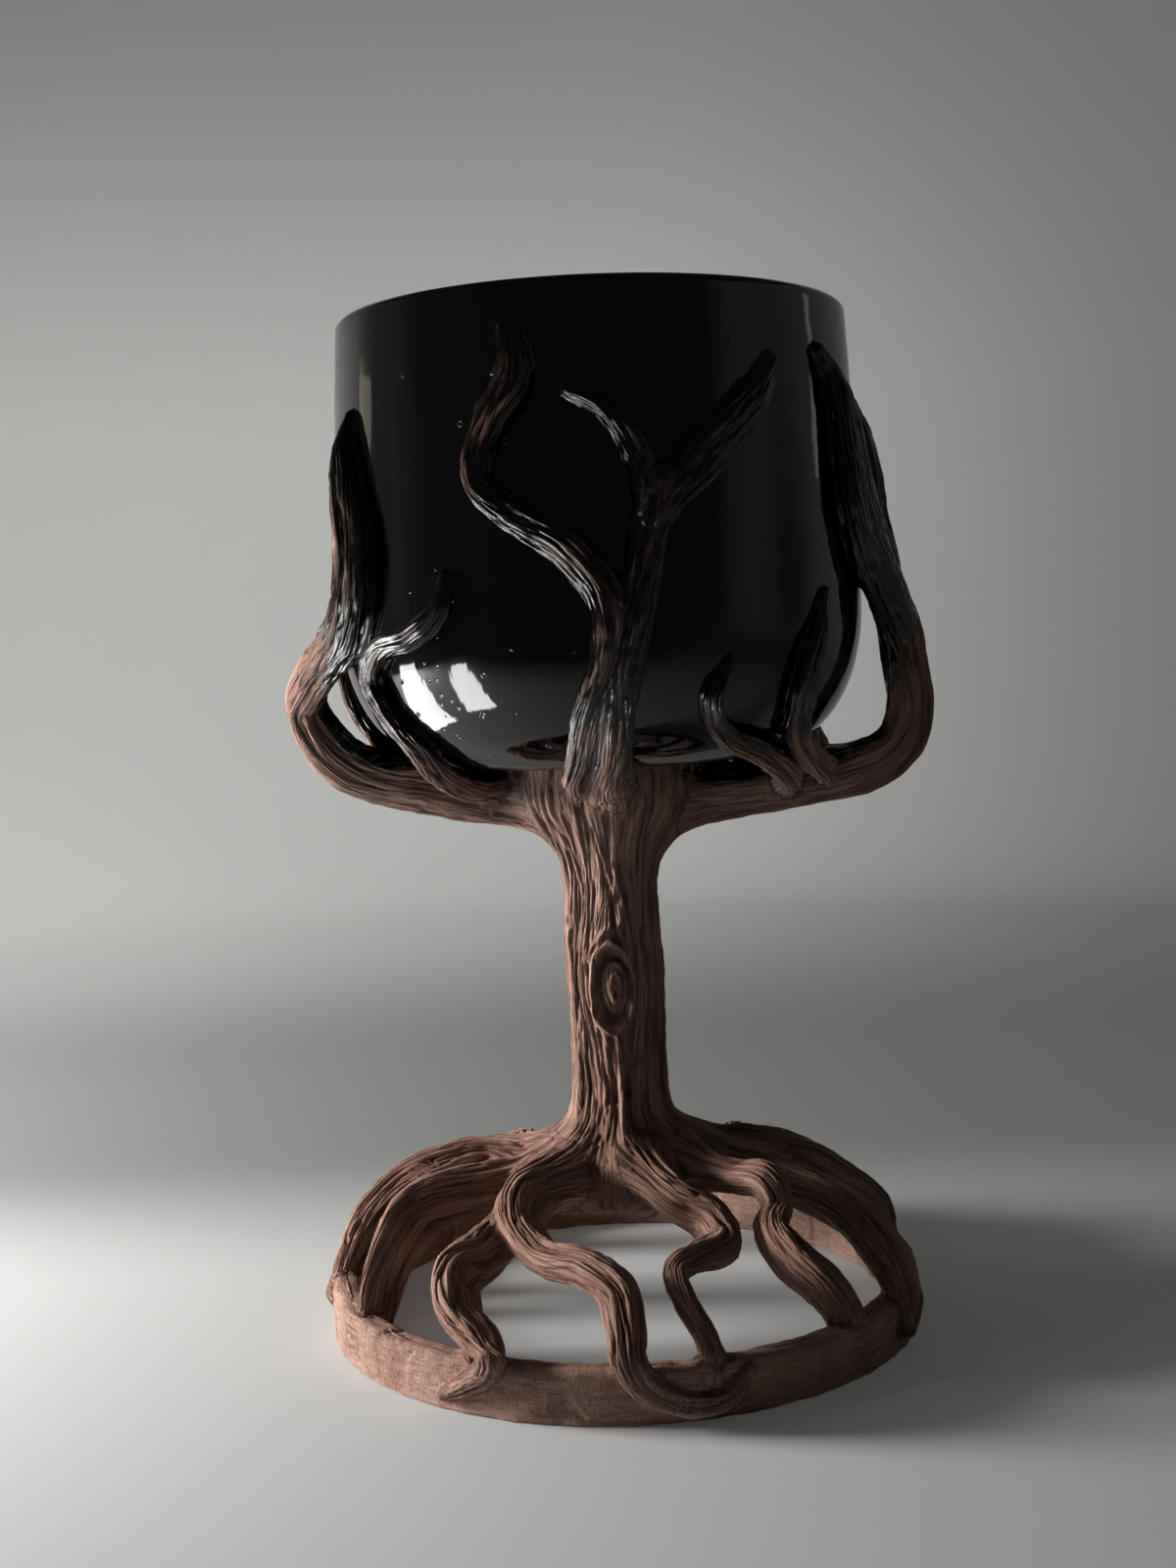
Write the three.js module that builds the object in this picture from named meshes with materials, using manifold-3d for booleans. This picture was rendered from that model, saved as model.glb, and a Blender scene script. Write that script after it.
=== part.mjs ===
// A chalice of fired clay: a thrown cup on a tree whose limbs grip it and whose roots hold a ring foot.
// Millimetres, +Z up, the ring's flat underside at z 0, the front towards -Y and the right towards +X.
// The tree is made as a potter makes it: rolled coils of clay, each scribed and luted onto its neighbours.
import * as THREE from "three";
import { mergeVertices } from "three/addons/utils/BufferGeometryUtils.js";
import Module from "manifold-3d";

const wasm = await Module();
wasm.setup();

// Driving sizes of the cup
const CUP_SEAT = 116;
const CUP_HEIGHT = 89;
const CUP_BASE_RADIUS = 31;
const CUP_BELLY_RADIUS = 53.2;
const CUP_BELLY_RISE = 30;
const CUP_RIM_RADIUS = 51.4;
const CUP_WALL = 3.6;
const CUP_LIP = 2.4;
const CUP_FLOOR = 5;

// Driving sizes of the ring foot
const FOOT_RADIUS = 61.4;
const FOOT_WALL = 6.5;
const FOOT_HEIGHT = 10.2;
const FOOT_EDGE = 2.2;

// Driving sizes of the tree
const TRUNK_RADIUS = 10;
const TRUNK_CROWN_RADIUS = 18;
const TRUNK_FLARE_HEIGHT = 24;
const TRUNK_BULB_RADIUS = 14.5;
const ROOT_CROWN = 38;
const BULB_UNDERSIDE = 22;
const BARK_LOBES = 8;
const BARK_DEPTH = 0.45;
const LIMB_WIDTH = 12;
const BRANCH_WIDTH = 8;
const ROOT_WIDTH = 9;
const ROOT_LIFT = 0.6;

// The knot in the trunk's face
const KNOT_HEIGHT = 70;
const KNOT_AZIMUTH = -3;
const KNOT_HALF_WIDTH = 3.9;
const KNOT_HALF_HEIGHT = 7.8;
const KNOT_DEPTH = 2.6;
const KNOT_CORE = 0.72;
const KNOT_CORE_AZIMUTH = 0.4;
const KNOT_CORE_DEPTH = 1.7;
const KNOT_LID = 1.9;

// The gap that the clay pieces keep where they are luted together
const SLIP = 0.3;

// Facets
const CUP_SIDES = 44;
const RING_SIDES = 52;
const TRUNK_SIDES = 28;
const TRUNK_RINGS = 20;
const STRAND_SIDES = 8;
const RINGS_PER_SPAN = 2;

const glaze = new THREE.MeshStandardMaterial({ color: 0x060708, roughness: 0.08, metalness: 0 });
const clay = new THREE.MeshStandardMaterial({ color: 0x6a4838, roughness: 0.9, metalness: 0 });
const glazedClay = new THREE.MeshStandardMaterial({ color: 0x231a16, roughness: 0.3, metalness: 0 });

// Points about the upright axis. Azimuth is in degrees from the front towards the right.
function polar(azimuth, radius, height) {
  const angle = THREE.MathUtils.degToRad(azimuth);
  return new THREE.Vector3(radius * Math.sin(angle), -radius * Math.cos(angle), height);
}

// The cup's outside, from the edge of its flat base round the belly to the rim.
function cupWall() {
  const widest = new THREE.Vector2(CUP_BELLY_RADIUS, CUP_BELLY_RISE);
  const rim = new THREE.Vector2(CUP_RIM_RADIUS, CUP_HEIGHT - CUP_LIP / 2);
  const under = THREE.MathUtils.lerp(CUP_BASE_RADIUS, CUP_BELLY_RADIUS, 0.56);
  const belly = new THREE.CubicBezierCurve(
    new THREE.Vector2(CUP_BASE_RADIUS, 0),
    new THREE.Vector2(under, 0.02 * CUP_BELLY_RISE),
    new THREE.Vector2(CUP_BELLY_RADIUS, 0.38 * CUP_BELLY_RISE),
    widest,
  );
  const middle = new THREE.Vector2(CUP_BELLY_RADIUS, (widest.y + rim.y) / 2);
  const side = new THREE.QuadraticBezierCurve(widest, middle, rim);
  return [...belly.getPoints(6), ...side.getPoints(2).slice(1)];
}

// Radius and outward slope of the cup's outside at a height over its seat.
function cupAt(height) {
  const wall = cupWall();
  const last = wall.length - 1;
  let k = wall.findIndex((point) => point.y > height);
  k = k < 0 ? last : Math.max(k, 1);
  const low = wall[k - 1];
  const high = wall[k];
  const share = (height - low.y) / (high.y - low.y);
  const slope = Math.atan2(high.y - low.y, high.x - low.x);
  return { radius: THREE.MathUtils.lerp(low.x, high.x, share), slope };
}

// A point off the cup's wall: up is a share of the cup's height, lift the distance out from the clay.
function onCup(azimuth, up, lift) {
  const height = up * CUP_HEIGHT;
  const { radius, slope } = cupAt(height);
  return polar(azimuth, radius + lift * Math.sin(slope), CUP_SEAT + height - lift * Math.cos(slope));
}

// A point below the cup: reach is a share of the belly's radius, drop the distance under the seat.
function underCup(azimuth, reach, drop) {
  return polar(azimuth, reach * CUP_BELLY_RADIUS, CUP_SEAT - drop);
}

// A point in the open beside the belly.
function besideCup(azimuth, out, up) {
  return polar(azimuth, CUP_BELLY_RADIUS + out, CUP_SEAT + up * CUP_HEIGHT);
}

// A point of a root: reach is 0 on the trunk and 1 on the ring, rise 0 at the ring's top and 1 at the crown.
function root(azimuth, reach, rise) {
  const ringMiddle = FOOT_RADIUS - FOOT_WALL / 2;
  const radius = THREE.MathUtils.lerp(TRUNK_RADIUS, ringMiddle, reach);
  return polar(azimuth, radius, THREE.MathUtils.lerp(FOOT_HEIGHT, ROOT_CROWN, rise));
}

// A point on the ring's outer face: share is 0 at its underside and 1 at its top.
function onRing(azimuth, lift, share) {
  return polar(azimuth, FOOT_RADIUS + lift, share * FOOT_HEIGHT);
}

// Solids and meshes
function toSolid(geometry) {
  const bare = geometry.clone();
  bare.deleteAttribute("normal");
  bare.deleteAttribute("uv");
  const merged = mergeVertices(bare, 1e-4);
  return new wasm.Manifold(
    new wasm.Mesh({
      numProp: 3,
      vertProperties: new Float32Array(merged.attributes.position.array),
      triVerts: new Uint32Array(merged.index.array),
    }),
  );
}

function toMesh(name, solid, material) {
  const { vertProperties, triVerts } = solid.getMesh();
  const geometry = new THREE.BufferGeometry();
  geometry.setAttribute("position", new THREE.BufferAttribute(vertProperties, 3));
  geometry.setIndex(new THREE.BufferAttribute(triVerts, 1));
  geometry.computeVertexNormals();
  const mesh = new THREE.Mesh(geometry, material);
  mesh.name = name;
  return mesh;
}

// A closed skin over rings of points, with a pole point at each end.
function skin(rings, firstPole, lastPole) {
  const sides = rings[0].length;
  const points = [...rings.flat(), firstPole, lastPole];
  const faces = [];
  const first = points.length - 2;
  const last = points.length - 1;
  const top = (rings.length - 1) * sides;
  for (let j = 0; j < sides; j++) {
    const next = (j + 1) % sides;
    faces.push(first, next, j);
    faces.push(last, top + j, top + next);
    for (let i = 0; i < rings.length - 1; i++) {
      const low = i * sides;
      const high = low + sides;
      faces.push(low + j, low + next, high + next);
      faces.push(low + j, high + next, high + j);
    }
  }
  const geometry = new THREE.BufferGeometry().setFromPoints(points);
  geometry.setIndex(faces);
  return toSolid(geometry);
}

// A coil of clay along a smooth curve through its stations, oval in section and rounded at its ends.
// Each station is a point, a width across and a depth towards or away from the core it lies on.
function coil(stations, core, grow) {
  const curve = new THREE.CatmullRomCurve3(stations.map((s) => s.at), false, "centripetal");
  const girth = new THREE.SplineCurve(stations.map((s) => new THREE.Vector2(s.width, s.depth)));
  const steps = (stations.length - 1) * RINGS_PER_SPAN;
  const section = (t, shift, scale) => {
    const along = curve.getTangent(t);
    const centre = curve.getPoint(t).addScaledVector(along, shift);
    const away = centre.clone().sub(core);
    away.addScaledVector(along, -away.dot(along)).normalize();
    const across = away.clone().cross(along);
    const size = girth.getPoint(t).multiplyScalar(0.5).addScalar(grow).multiplyScalar(scale);
    return Array.from({ length: STRAND_SIDES }, (_, j) => {
      const angle = (2 * Math.PI * j) / STRAND_SIDES;
      return centre.clone()
        .addScaledVector(across, size.x * Math.cos(angle))
        .addScaledVector(away, size.y * Math.sin(angle));
    });
  };
  const pole = (t, side) => {
    const reach = side * (girth.getPoint(t).y * 0.5 + grow);
    return curve.getPoint(t).addScaledVector(curve.getTangent(t), reach);
  };
  const rings = [];
  for (let k = 0; k <= steps; k++) rings.push(section(k / steps, 0, 1));
  rings.unshift(section(0, -0.3 * stations[0].depth, 0.7));
  rings.push(section(1, 0.3 * stations.at(-1).depth, 0.7));
  return skin(rings, pole(0, -1), pole(1, 1));
}

// The cup: a flat base, a full belly and a straight wall that thins to a rounded lip.
function cupSolid(grow) {
  const outside = cupWall().map((point) => new THREE.Vector2(point.x, point.y));
  const outline = new THREE.Path();
  outline.moveTo(0, -grow);
  for (const [k, point] of outside.entries()) {
    const { slope } = cupAt(point.y);
    const tilt = k === 0 ? Math.PI / 2 : slope;
    outline.lineTo(point.x + grow * Math.sin(tilt), point.y - grow * (k === 0 ? 1 : Math.cos(tilt)));
  }
  if (grow > 0) {
    outline.lineTo(CUP_RIM_RADIUS + grow, CUP_HEIGHT + grow);
    outline.lineTo(0, CUP_HEIGHT + grow);
    return lathe(outline.getPoints(1), CUP_SIDES, CUP_SEAT);
  }
  const lip = CUP_LIP / 2;
  outline.absarc(CUP_RIM_RADIUS - lip, CUP_HEIGHT - lip, lip, 0, Math.PI, false);
  const inside = outside.slice(0, -1).reverse();
  const hollow = inside.filter((point) => point.y > CUP_FLOOR + CUP_WALL);
  for (const point of hollow) outline.lineTo(point.x - CUP_WALL, point.y);
  outline.quadraticCurveTo(CUP_BELLY_RADIUS - 3 * CUP_WALL, CUP_FLOOR, 0.6 * CUP_BASE_RADIUS, CUP_FLOOR);
  outline.lineTo(0, CUP_FLOOR);
  return lathe(outline.getPoints(4), CUP_SIDES, CUP_SEAT);
}

// A solid of revolution about the upright axis from a profile of radius and height.
function lathe(profile, sides, height) {
  const clean = profile.filter((point, k) => k === 0 || point.distanceTo(profile[k - 1]) > 1e-6);
  const geometry = new THREE.LatheGeometry(clean, sides);
  geometry.rotateX(Math.PI / 2);
  geometry.translate(0, 0, height);
  return toSolid(geometry);
}

// The ring foot: a strip of clay on edge, its top edges worn round.
function footSolid(grow) {
  const inner = FOOT_RADIUS - FOOT_WALL - grow;
  const outer = FOOT_RADIUS + grow;
  const top = FOOT_HEIGHT + grow;
  const outline = new THREE.Path();
  outline.moveTo(inner, -grow);
  outline.lineTo(outer, -grow);
  outline.lineTo(outer, top - FOOT_EDGE);
  outline.quadraticCurveTo(outer, top, outer - FOOT_EDGE, top);
  outline.lineTo(inner + FOOT_EDGE, top);
  outline.quadraticCurveTo(inner, top, inner, top - FOOT_EDGE);
  outline.lineTo(inner, -grow);
  return lathe(outline.getPoints(2), RING_SIDES, 0);
}

// The trunk: a fluted column that swells into a bulb over the roots and flares into a seat for the cup.
function trunkSolid(grow) {
  const seat = CUP_SEAT - SLIP;
  const bulb = ROOT_CROWN - BULB_UNDERSIDE;
  const shoulder = TRUNK_RADIUS + 0.3 * (TRUNK_CROWN_RADIUS - TRUNK_RADIUS);
  const profile = new THREE.SplineCurve([
    new THREE.Vector2(0.5 * TRUNK_BULB_RADIUS, BULB_UNDERSIDE),
    new THREE.Vector2(0.9 * TRUNK_BULB_RADIUS, BULB_UNDERSIDE + 0.19 * bulb),
    new THREE.Vector2(TRUNK_BULB_RADIUS, BULB_UNDERSIDE + 0.69 * bulb),
    new THREE.Vector2(shoulder, ROOT_CROWN),
    new THREE.Vector2(TRUNK_RADIUS, BULB_UNDERSIDE + 1.44 * bulb),
    new THREE.Vector2(TRUNK_RADIUS, (ROOT_CROWN + CUP_SEAT) / 2),
    new THREE.Vector2(TRUNK_RADIUS, CUP_SEAT - TRUNK_FLARE_HEIGHT),
    new THREE.Vector2(shoulder, CUP_SEAT - 0.67 * TRUNK_FLARE_HEIGHT),
    new THREE.Vector2(0.92 * TRUNK_CROWN_RADIUS, CUP_SEAT - 0.33 * TRUNK_FLARE_HEIGHT),
    new THREE.Vector2(TRUNK_CROWN_RADIUS, seat),
  ]);
  const rings = [];
  for (let k = 0; k <= TRUNK_RINGS; k++) {
    const t = k / TRUNK_RINGS;
    const { x: radius, y: height } = profile.getPoint(t);
    const flute = BARK_DEPTH * Math.sin(Math.PI * t);
    const lift = k === 0 ? -grow : k === TRUNK_RINGS ? grow : 0;
    rings.push(Array.from({ length: TRUNK_SIDES }, (_, j) => {
      const azimuth = (360 * j) / TRUNK_SIDES;
      const wave = Math.cos(THREE.MathUtils.degToRad(BARK_LOBES * azimuth + 50 * t));
      return polar(azimuth, radius + flute * wave + grow, height + lift);
    }));
  }
  return skin(rings, new THREE.Vector3(0, 0, BULB_UNDERSIDE - grow), new THREE.Vector3(0, 0, seat + grow));
}

// An egg of clay set in the trunk's face with its middle at a radius.
function egg(halfWidth, halfHeight, depth, radius, azimuth) {
  const geometry = new THREE.SphereGeometry(1, 12, 8);
  geometry.rotateX(Math.PI / 2);
  geometry.scale(halfWidth, depth, halfHeight);
  geometry.translate(0, -radius, KNOT_HEIGHT);
  geometry.rotateZ(THREE.MathUtils.degToRad(azimuth));
  return toSolid(geometry);
}

// The knot's core, a pellet pressed into the eye-shaped hollow until its face is level with the trunk's.
function knotSolid(grow) {
  const halfWidth = KNOT_CORE * KNOT_HALF_WIDTH + grow;
  const halfHeight = KNOT_CORE * KNOT_HALF_HEIGHT + grow;
  const radius = TRUNK_RADIUS - KNOT_CORE_DEPTH;
  return egg(halfWidth, halfHeight, KNOT_CORE_DEPTH + grow, radius, KNOT_CORE_AZIMUTH);
}

// The raised lid round the left and the top of the knot.
function knotLid() {
  const stations = [250, 205, 160, 110, 60, 15].map((angle, k, all) => {
    const turn = THREE.MathUtils.degToRad(angle);
    const side = (KNOT_HALF_WIDTH + 0.4 * KNOT_LID) * Math.cos(turn);
    const height = KNOT_HEIGHT + (KNOT_HALF_HEIGHT + 0.4 * KNOT_LID) * Math.sin(turn);
    const azimuth = KNOT_AZIMUTH + THREE.MathUtils.radToDeg(Math.asin(side / TRUNK_RADIUS));
    const swell = 0.55 + 0.45 * Math.sin((Math.PI * k) / (all.length - 1));
    return { at: polar(azimuth, TRUNK_RADIUS, height), width: KNOT_LID * swell, depth: KNOT_LID };
  });
  return coil(stations, new THREE.Vector3(0, 0, KNOT_HEIGHT), 0);
}

function trunkWithKnot(grow) {
  if (grow > 0) return trunkSolid(grow);
  const hollow = egg(KNOT_HALF_WIDTH, KNOT_HALF_HEIGHT, KNOT_DEPTH, TRUNK_RADIUS, KNOT_AZIMUTH);
  return trunkSolid(0).add(knotLid()).subtract(hollow).subtract(knotSolid(SLIP));
}

// Coils are laid against a core: limbs and branches against the cup, roots against the foot's centre.
const cupCore = new THREE.Vector3(0, 0, CUP_SEAT + 0.4 * CUP_HEIGHT);
const footCore = new THREE.Vector3(0, 0, 0);

// A coil's stations, each with its width and depth as shares of the coil's own width.
function sized(width, list) {
  return list.map(([at, wide, deep]) => ({ at, width: wide * width, depth: deep * width }));
}

// The four limbs carry the cup. The left and right ones leave the trunk's crown under the cup,
// bend out clear of the belly and come back onto the wall.
function limbs() {
  return {
    limb_left: sized(LIMB_WIDTH, [
      [underCup(-88, 0.12, 7), 1, 0.95],
      [underCup(-88, 0.39, 6.4), 1, 1.1],
      [underCup(-87, 0.68, 3.6), 0.96, 1.1],
      [besideCup(-86, -2, 0.003), 0.93, 1],
      [besideCup(-85, 4.6, 0.074), 0.9, 0.88],
      [besideCup(-84, 7.6, 0.155), 0.8, 0.74],
      [besideCup(-77, 5.1, 0.23), 0.8, 0.7],
      [besideCup(-69, 3, 0.275), 0.84, 0.7],
      [onCup(-62, 0.33, 2.2), 0.92, 0.7],
      [onCup(-58.5, 0.42, 1.9), 0.98, 0.66],
      [onCup(-58.5, 0.52, 1.7), 0.96, 0.62],
      [onCup(-60.5, 0.62, 1.6), 0.8, 0.58],
      [onCup(-62, 0.705, 1.2), 0.56, 0.46],
      [onCup(-61, 0.77, 0.5), 0.26, 0.24],
    ]),
    limb_right: sized(LIMB_WIDTH, [
      [underCup(85, 0.12, 8.5), 1.05, 1],
      [underCup(85, 0.33, 8), 1.08, 1.02],
      [underCup(85, 0.8, 5), 1.08, 1.08],
      [underCup(85, 1.01, 2.6), 1, 1],
      [besideCup(85, 6.8, 0.02), 0.92, 0.88],
      [besideCup(85, 9.1, 0.095), 0.86, 0.84],
      [besideCup(84, 8.5, 0.19), 0.84, 0.8],
      [besideCup(82, 7.6, 0.27), 0.86, 0.78],
      [besideCup(77, 5.4, 0.35), 0.94, 0.74],
      [onCup(71, 0.43, 3.2), 1.06, 0.7],
      [onCup(66, 0.53, 2.2), 1.15, 0.64],
      [onCup(63, 0.64, 1.7), 1.08, 0.58],
      [onCup(60.5, 0.75, 1.3), 0.82, 0.5],
      [onCup(57, 0.82, 0.9), 0.5, 0.38],
      [onCup(53.5, 0.865, 0.5), 0.26, 0.24],
    ]),
    limb_front: sized(LIMB_WIDTH, [
      [polar(3, TRUNK_RADIUS + 3, CUP_SEAT - 8), 0.62, 0.46],
      [underCup(1, 0.32, 5.4), 0.85, 0.62],
      [underCup(0, 0.54, 3.2), 0.9, 0.68],
      [underCup(0, 0.75, 0.4), 0.82, 0.62],
      [onCup(0.8, 0.055, 2.8), 0.7, 0.58],
      [onCup(1.8, 0.13, 1.6), 0.62, 0.54],
      [onCup(5, 0.28, 1.3), 0.62, 0.5],
      [onCup(8.4, 0.44, 1.2), 0.62, 0.48],
      [onCup(11, 0.575, 1), 0.58, 0.42],
    ]),
    limb_back: sized(LIMB_WIDTH, [
      [polar(177, TRUNK_RADIUS + 0.8, CUP_SEAT - 12), 0.75, 0.52],
      [underCup(178, 0.32, 6), 0.95, 0.68],
      [underCup(180, 0.55, 3.4), 1, 0.72],
      [underCup(180, 0.76, 0.4), 0.92, 0.66],
      [onCup(178, 0.07, 2.6), 0.82, 0.6],
      [onCup(174, 0.18, 1.5), 0.76, 0.54],
      [onCup(172, 0.32, 1.3), 0.72, 0.52],
      [onCup(175, 0.45, 1.1), 0.66, 0.46],
    ]),
  };
}

// The branches and twigs lie on the cup and taper to points.
function branches() {
  return {
    branch_right_outer: sized(BRANCH_WIDTH, [
      [besideCup(83, 5.6, 0.32), 0.8, 0.7],
      [besideCup(85, 5, 0.42), 1, 0.82],
      [besideCup(85, 3.4, 0.53), 1, 0.76],
      [besideCup(83, 2.2, 0.645), 0.84, 0.66],
      [besideCup(79, 0.9, 0.72), 0.6, 0.5],
      [onCup(73, 0.775, 0.6), 0.28, 0.26],
    ]),
    twig_front_right: sized(BRANCH_WIDTH, [
      [onCup(11.5, 0.535, 1.2), 0.8, 0.6],
      [onCup(18.5, 0.62, 1.2), 1.15, 0.7],
      [onCup(25.5, 0.69, 1.2), 1.15, 0.66],
      [onCup(32.5, 0.76, 1), 0.94, 0.5],
      [onCup(38, 0.83, 0.6), 0.5, 0.34],
    ]),
    twig_front_left: sized(BRANCH_WIDTH, [
      [onCup(11.4, 0.53, 1.2), 0.6, 0.55],
      [onCup(8.3, 0.62, 1.1), 0.68, 0.56],
      [onCup(5.4, 0.685, 1), 0.6, 0.5],
      [onCup(0.6, 0.738, 0.8), 0.45, 0.4],
      [onCup(-5.5, 0.768, 0.5), 0.22, 0.22],
    ]),
    branch_front_left: sized(BRANCH_WIDTH, [
      [underCup(-10, 0.56, 3.6), 0.7, 0.7],
      [underCup(-9, 0.76, 0.6), 0.72, 0.7],
      [onCup(-6.5, 0.055, 2.4), 0.72, 0.64],
      [onCup(-3.6, 0.14, 1.5), 0.74, 0.62],
      [onCup(0.6, 0.245, 1.5), 0.84, 0.66],
      [onCup(0.4, 0.365, 1.5), 0.94, 0.68],
      [onCup(-7, 0.465, 1.3), 0.94, 0.66],
      [onCup(-18, 0.54, 1.2), 0.82, 0.6],
      [onCup(-24, 0.61, 1.1), 0.72, 0.56],
      [onCup(-21, 0.715, 1.1), 0.86, 0.58],
      [onCup(-15.6, 0.805, 0.9), 0.98, 0.54],
      [onCup(-16.4, 0.9, 0.5), 0.56, 0.32],
    ]),
    curl_left: sized(BRANCH_WIDTH, [
      [underCup(-76, 0.46, 4.6), 0.8, 0.8],
      [underCup(-58, 0.62, 3.4), 0.74, 0.74],
      [underCup(-51, 0.79, -0.2), 0.68, 0.68],
      [onCup(-51, 0.075, 2), 0.66, 0.62],
      [onCup(-55.5, 0.15, 1.5), 0.64, 0.58],
      [onCup(-57, 0.215, 1.4), 0.64, 0.56],
      [onCup(-51, 0.277, 1.3), 0.62, 0.54],
      [onCup(-40.5, 0.303, 1.2), 0.6, 0.5],
      [onCup(-34, 0.35, 1), 0.46, 0.42],
      [onCup(-32, 0.42, 0.6), 0.22, 0.22],
    ]),
    hook_right: sized(BRANCH_WIDTH, [
      [underCup(76, 0.7, 5.5), 0.8, 0.8],
      [underCup(54, 0.8, 2.2), 0.74, 0.72],
      [underCup(41, 0.84, -1.8), 0.66, 0.64],
      [onCup(29, 0.075, 2), 0.6, 0.56],
      [onCup(23.5, 0.115, 1.6), 0.56, 0.52],
      [onCup(22.5, 0.165, 1.2), 0.5, 0.46],
      [onCup(25.5, 0.225, 0.6), 0.28, 0.26],
    ]),
    spear_right: sized(BRANCH_WIDTH, [
      [underCup(72, 0.86, 3), 0.8, 0.8],
      [underCup(58, 0.9, 0.6), 0.72, 0.72],
      [onCup(50, 0.08, 2.4), 0.7, 0.66],
      [onCup(46, 0.15, 1.6), 0.8, 0.6],
      [onCup(46.5, 0.22, 1.3), 0.86, 0.56],
      [onCup(49, 0.29, 1), 0.62, 0.44],
      [onCup(51.5, 0.36, 0.5), 0.26, 0.26],
    ]),
    branch_back_left: sized(BRANCH_WIDTH, [
      [underCup(-92, 0.82, 0.6), 0.86, 0.86],
      [onCup(-95, 0.07, 2.4), 0.84, 0.8],
      [onCup(-97, 0.18, 1.7), 0.82, 0.7],
      [onCup(-98, 0.3, 1), 0.82, 0.6],
      [onCup(-97, 0.43, 0.9), 0.78, 0.54],
      [onCup(-101, 0.54, 0.9), 0.7, 0.5],
      [onCup(-110, 0.63, 0.8), 0.56, 0.44],
      [onCup(-117, 0.71, 0.5), 0.26, 0.26],
    ]),
    branch_back_right: sized(BRANCH_WIDTH, [
      [underCup(92, 0.72, 4.6), 0.86, 0.86],
      [underCup(104, 0.86, 0.4), 0.84, 0.82],
      [onCup(115, 0.08, 2), 0.84, 0.74],
      [onCup(122, 0.19, 1.5), 0.86, 0.68],
      [onCup(121, 0.32, 1.3), 0.82, 0.62],
      [onCup(127, 0.435, 1.2), 0.74, 0.56],
      [onCup(139, 0.51, 1), 0.56, 0.46],
      [onCup(149, 0.6, 0.5), 0.26, 0.26],
    ]),
    twig_back_right: sized(BRANCH_WIDTH, [
      [onCup(174, 0.4, 1.2), 0.72, 0.6],
      [onCup(168, 0.52, 1.2), 0.92, 0.64],
      [onCup(158, 0.62, 1.1), 0.84, 0.56],
      [onCup(150, 0.7, 0.8), 0.56, 0.44],
      [onCup(146, 0.78, 0.5), 0.24, 0.24],
    ]),
    twig_back_left: sized(BRANCH_WIDTH, [
      [onCup(175, 0.41, 1.2), 0.66, 0.56],
      [onCup(181, 0.52, 1.2), 0.82, 0.6],
      [onCup(188, 0.64, 1.1), 0.74, 0.54],
      [onCup(186, 0.76, 0.9), 0.56, 0.46],
      [onCup(180, 0.85, 0.5), 0.24, 0.24],
    ]),
  };
}

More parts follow.
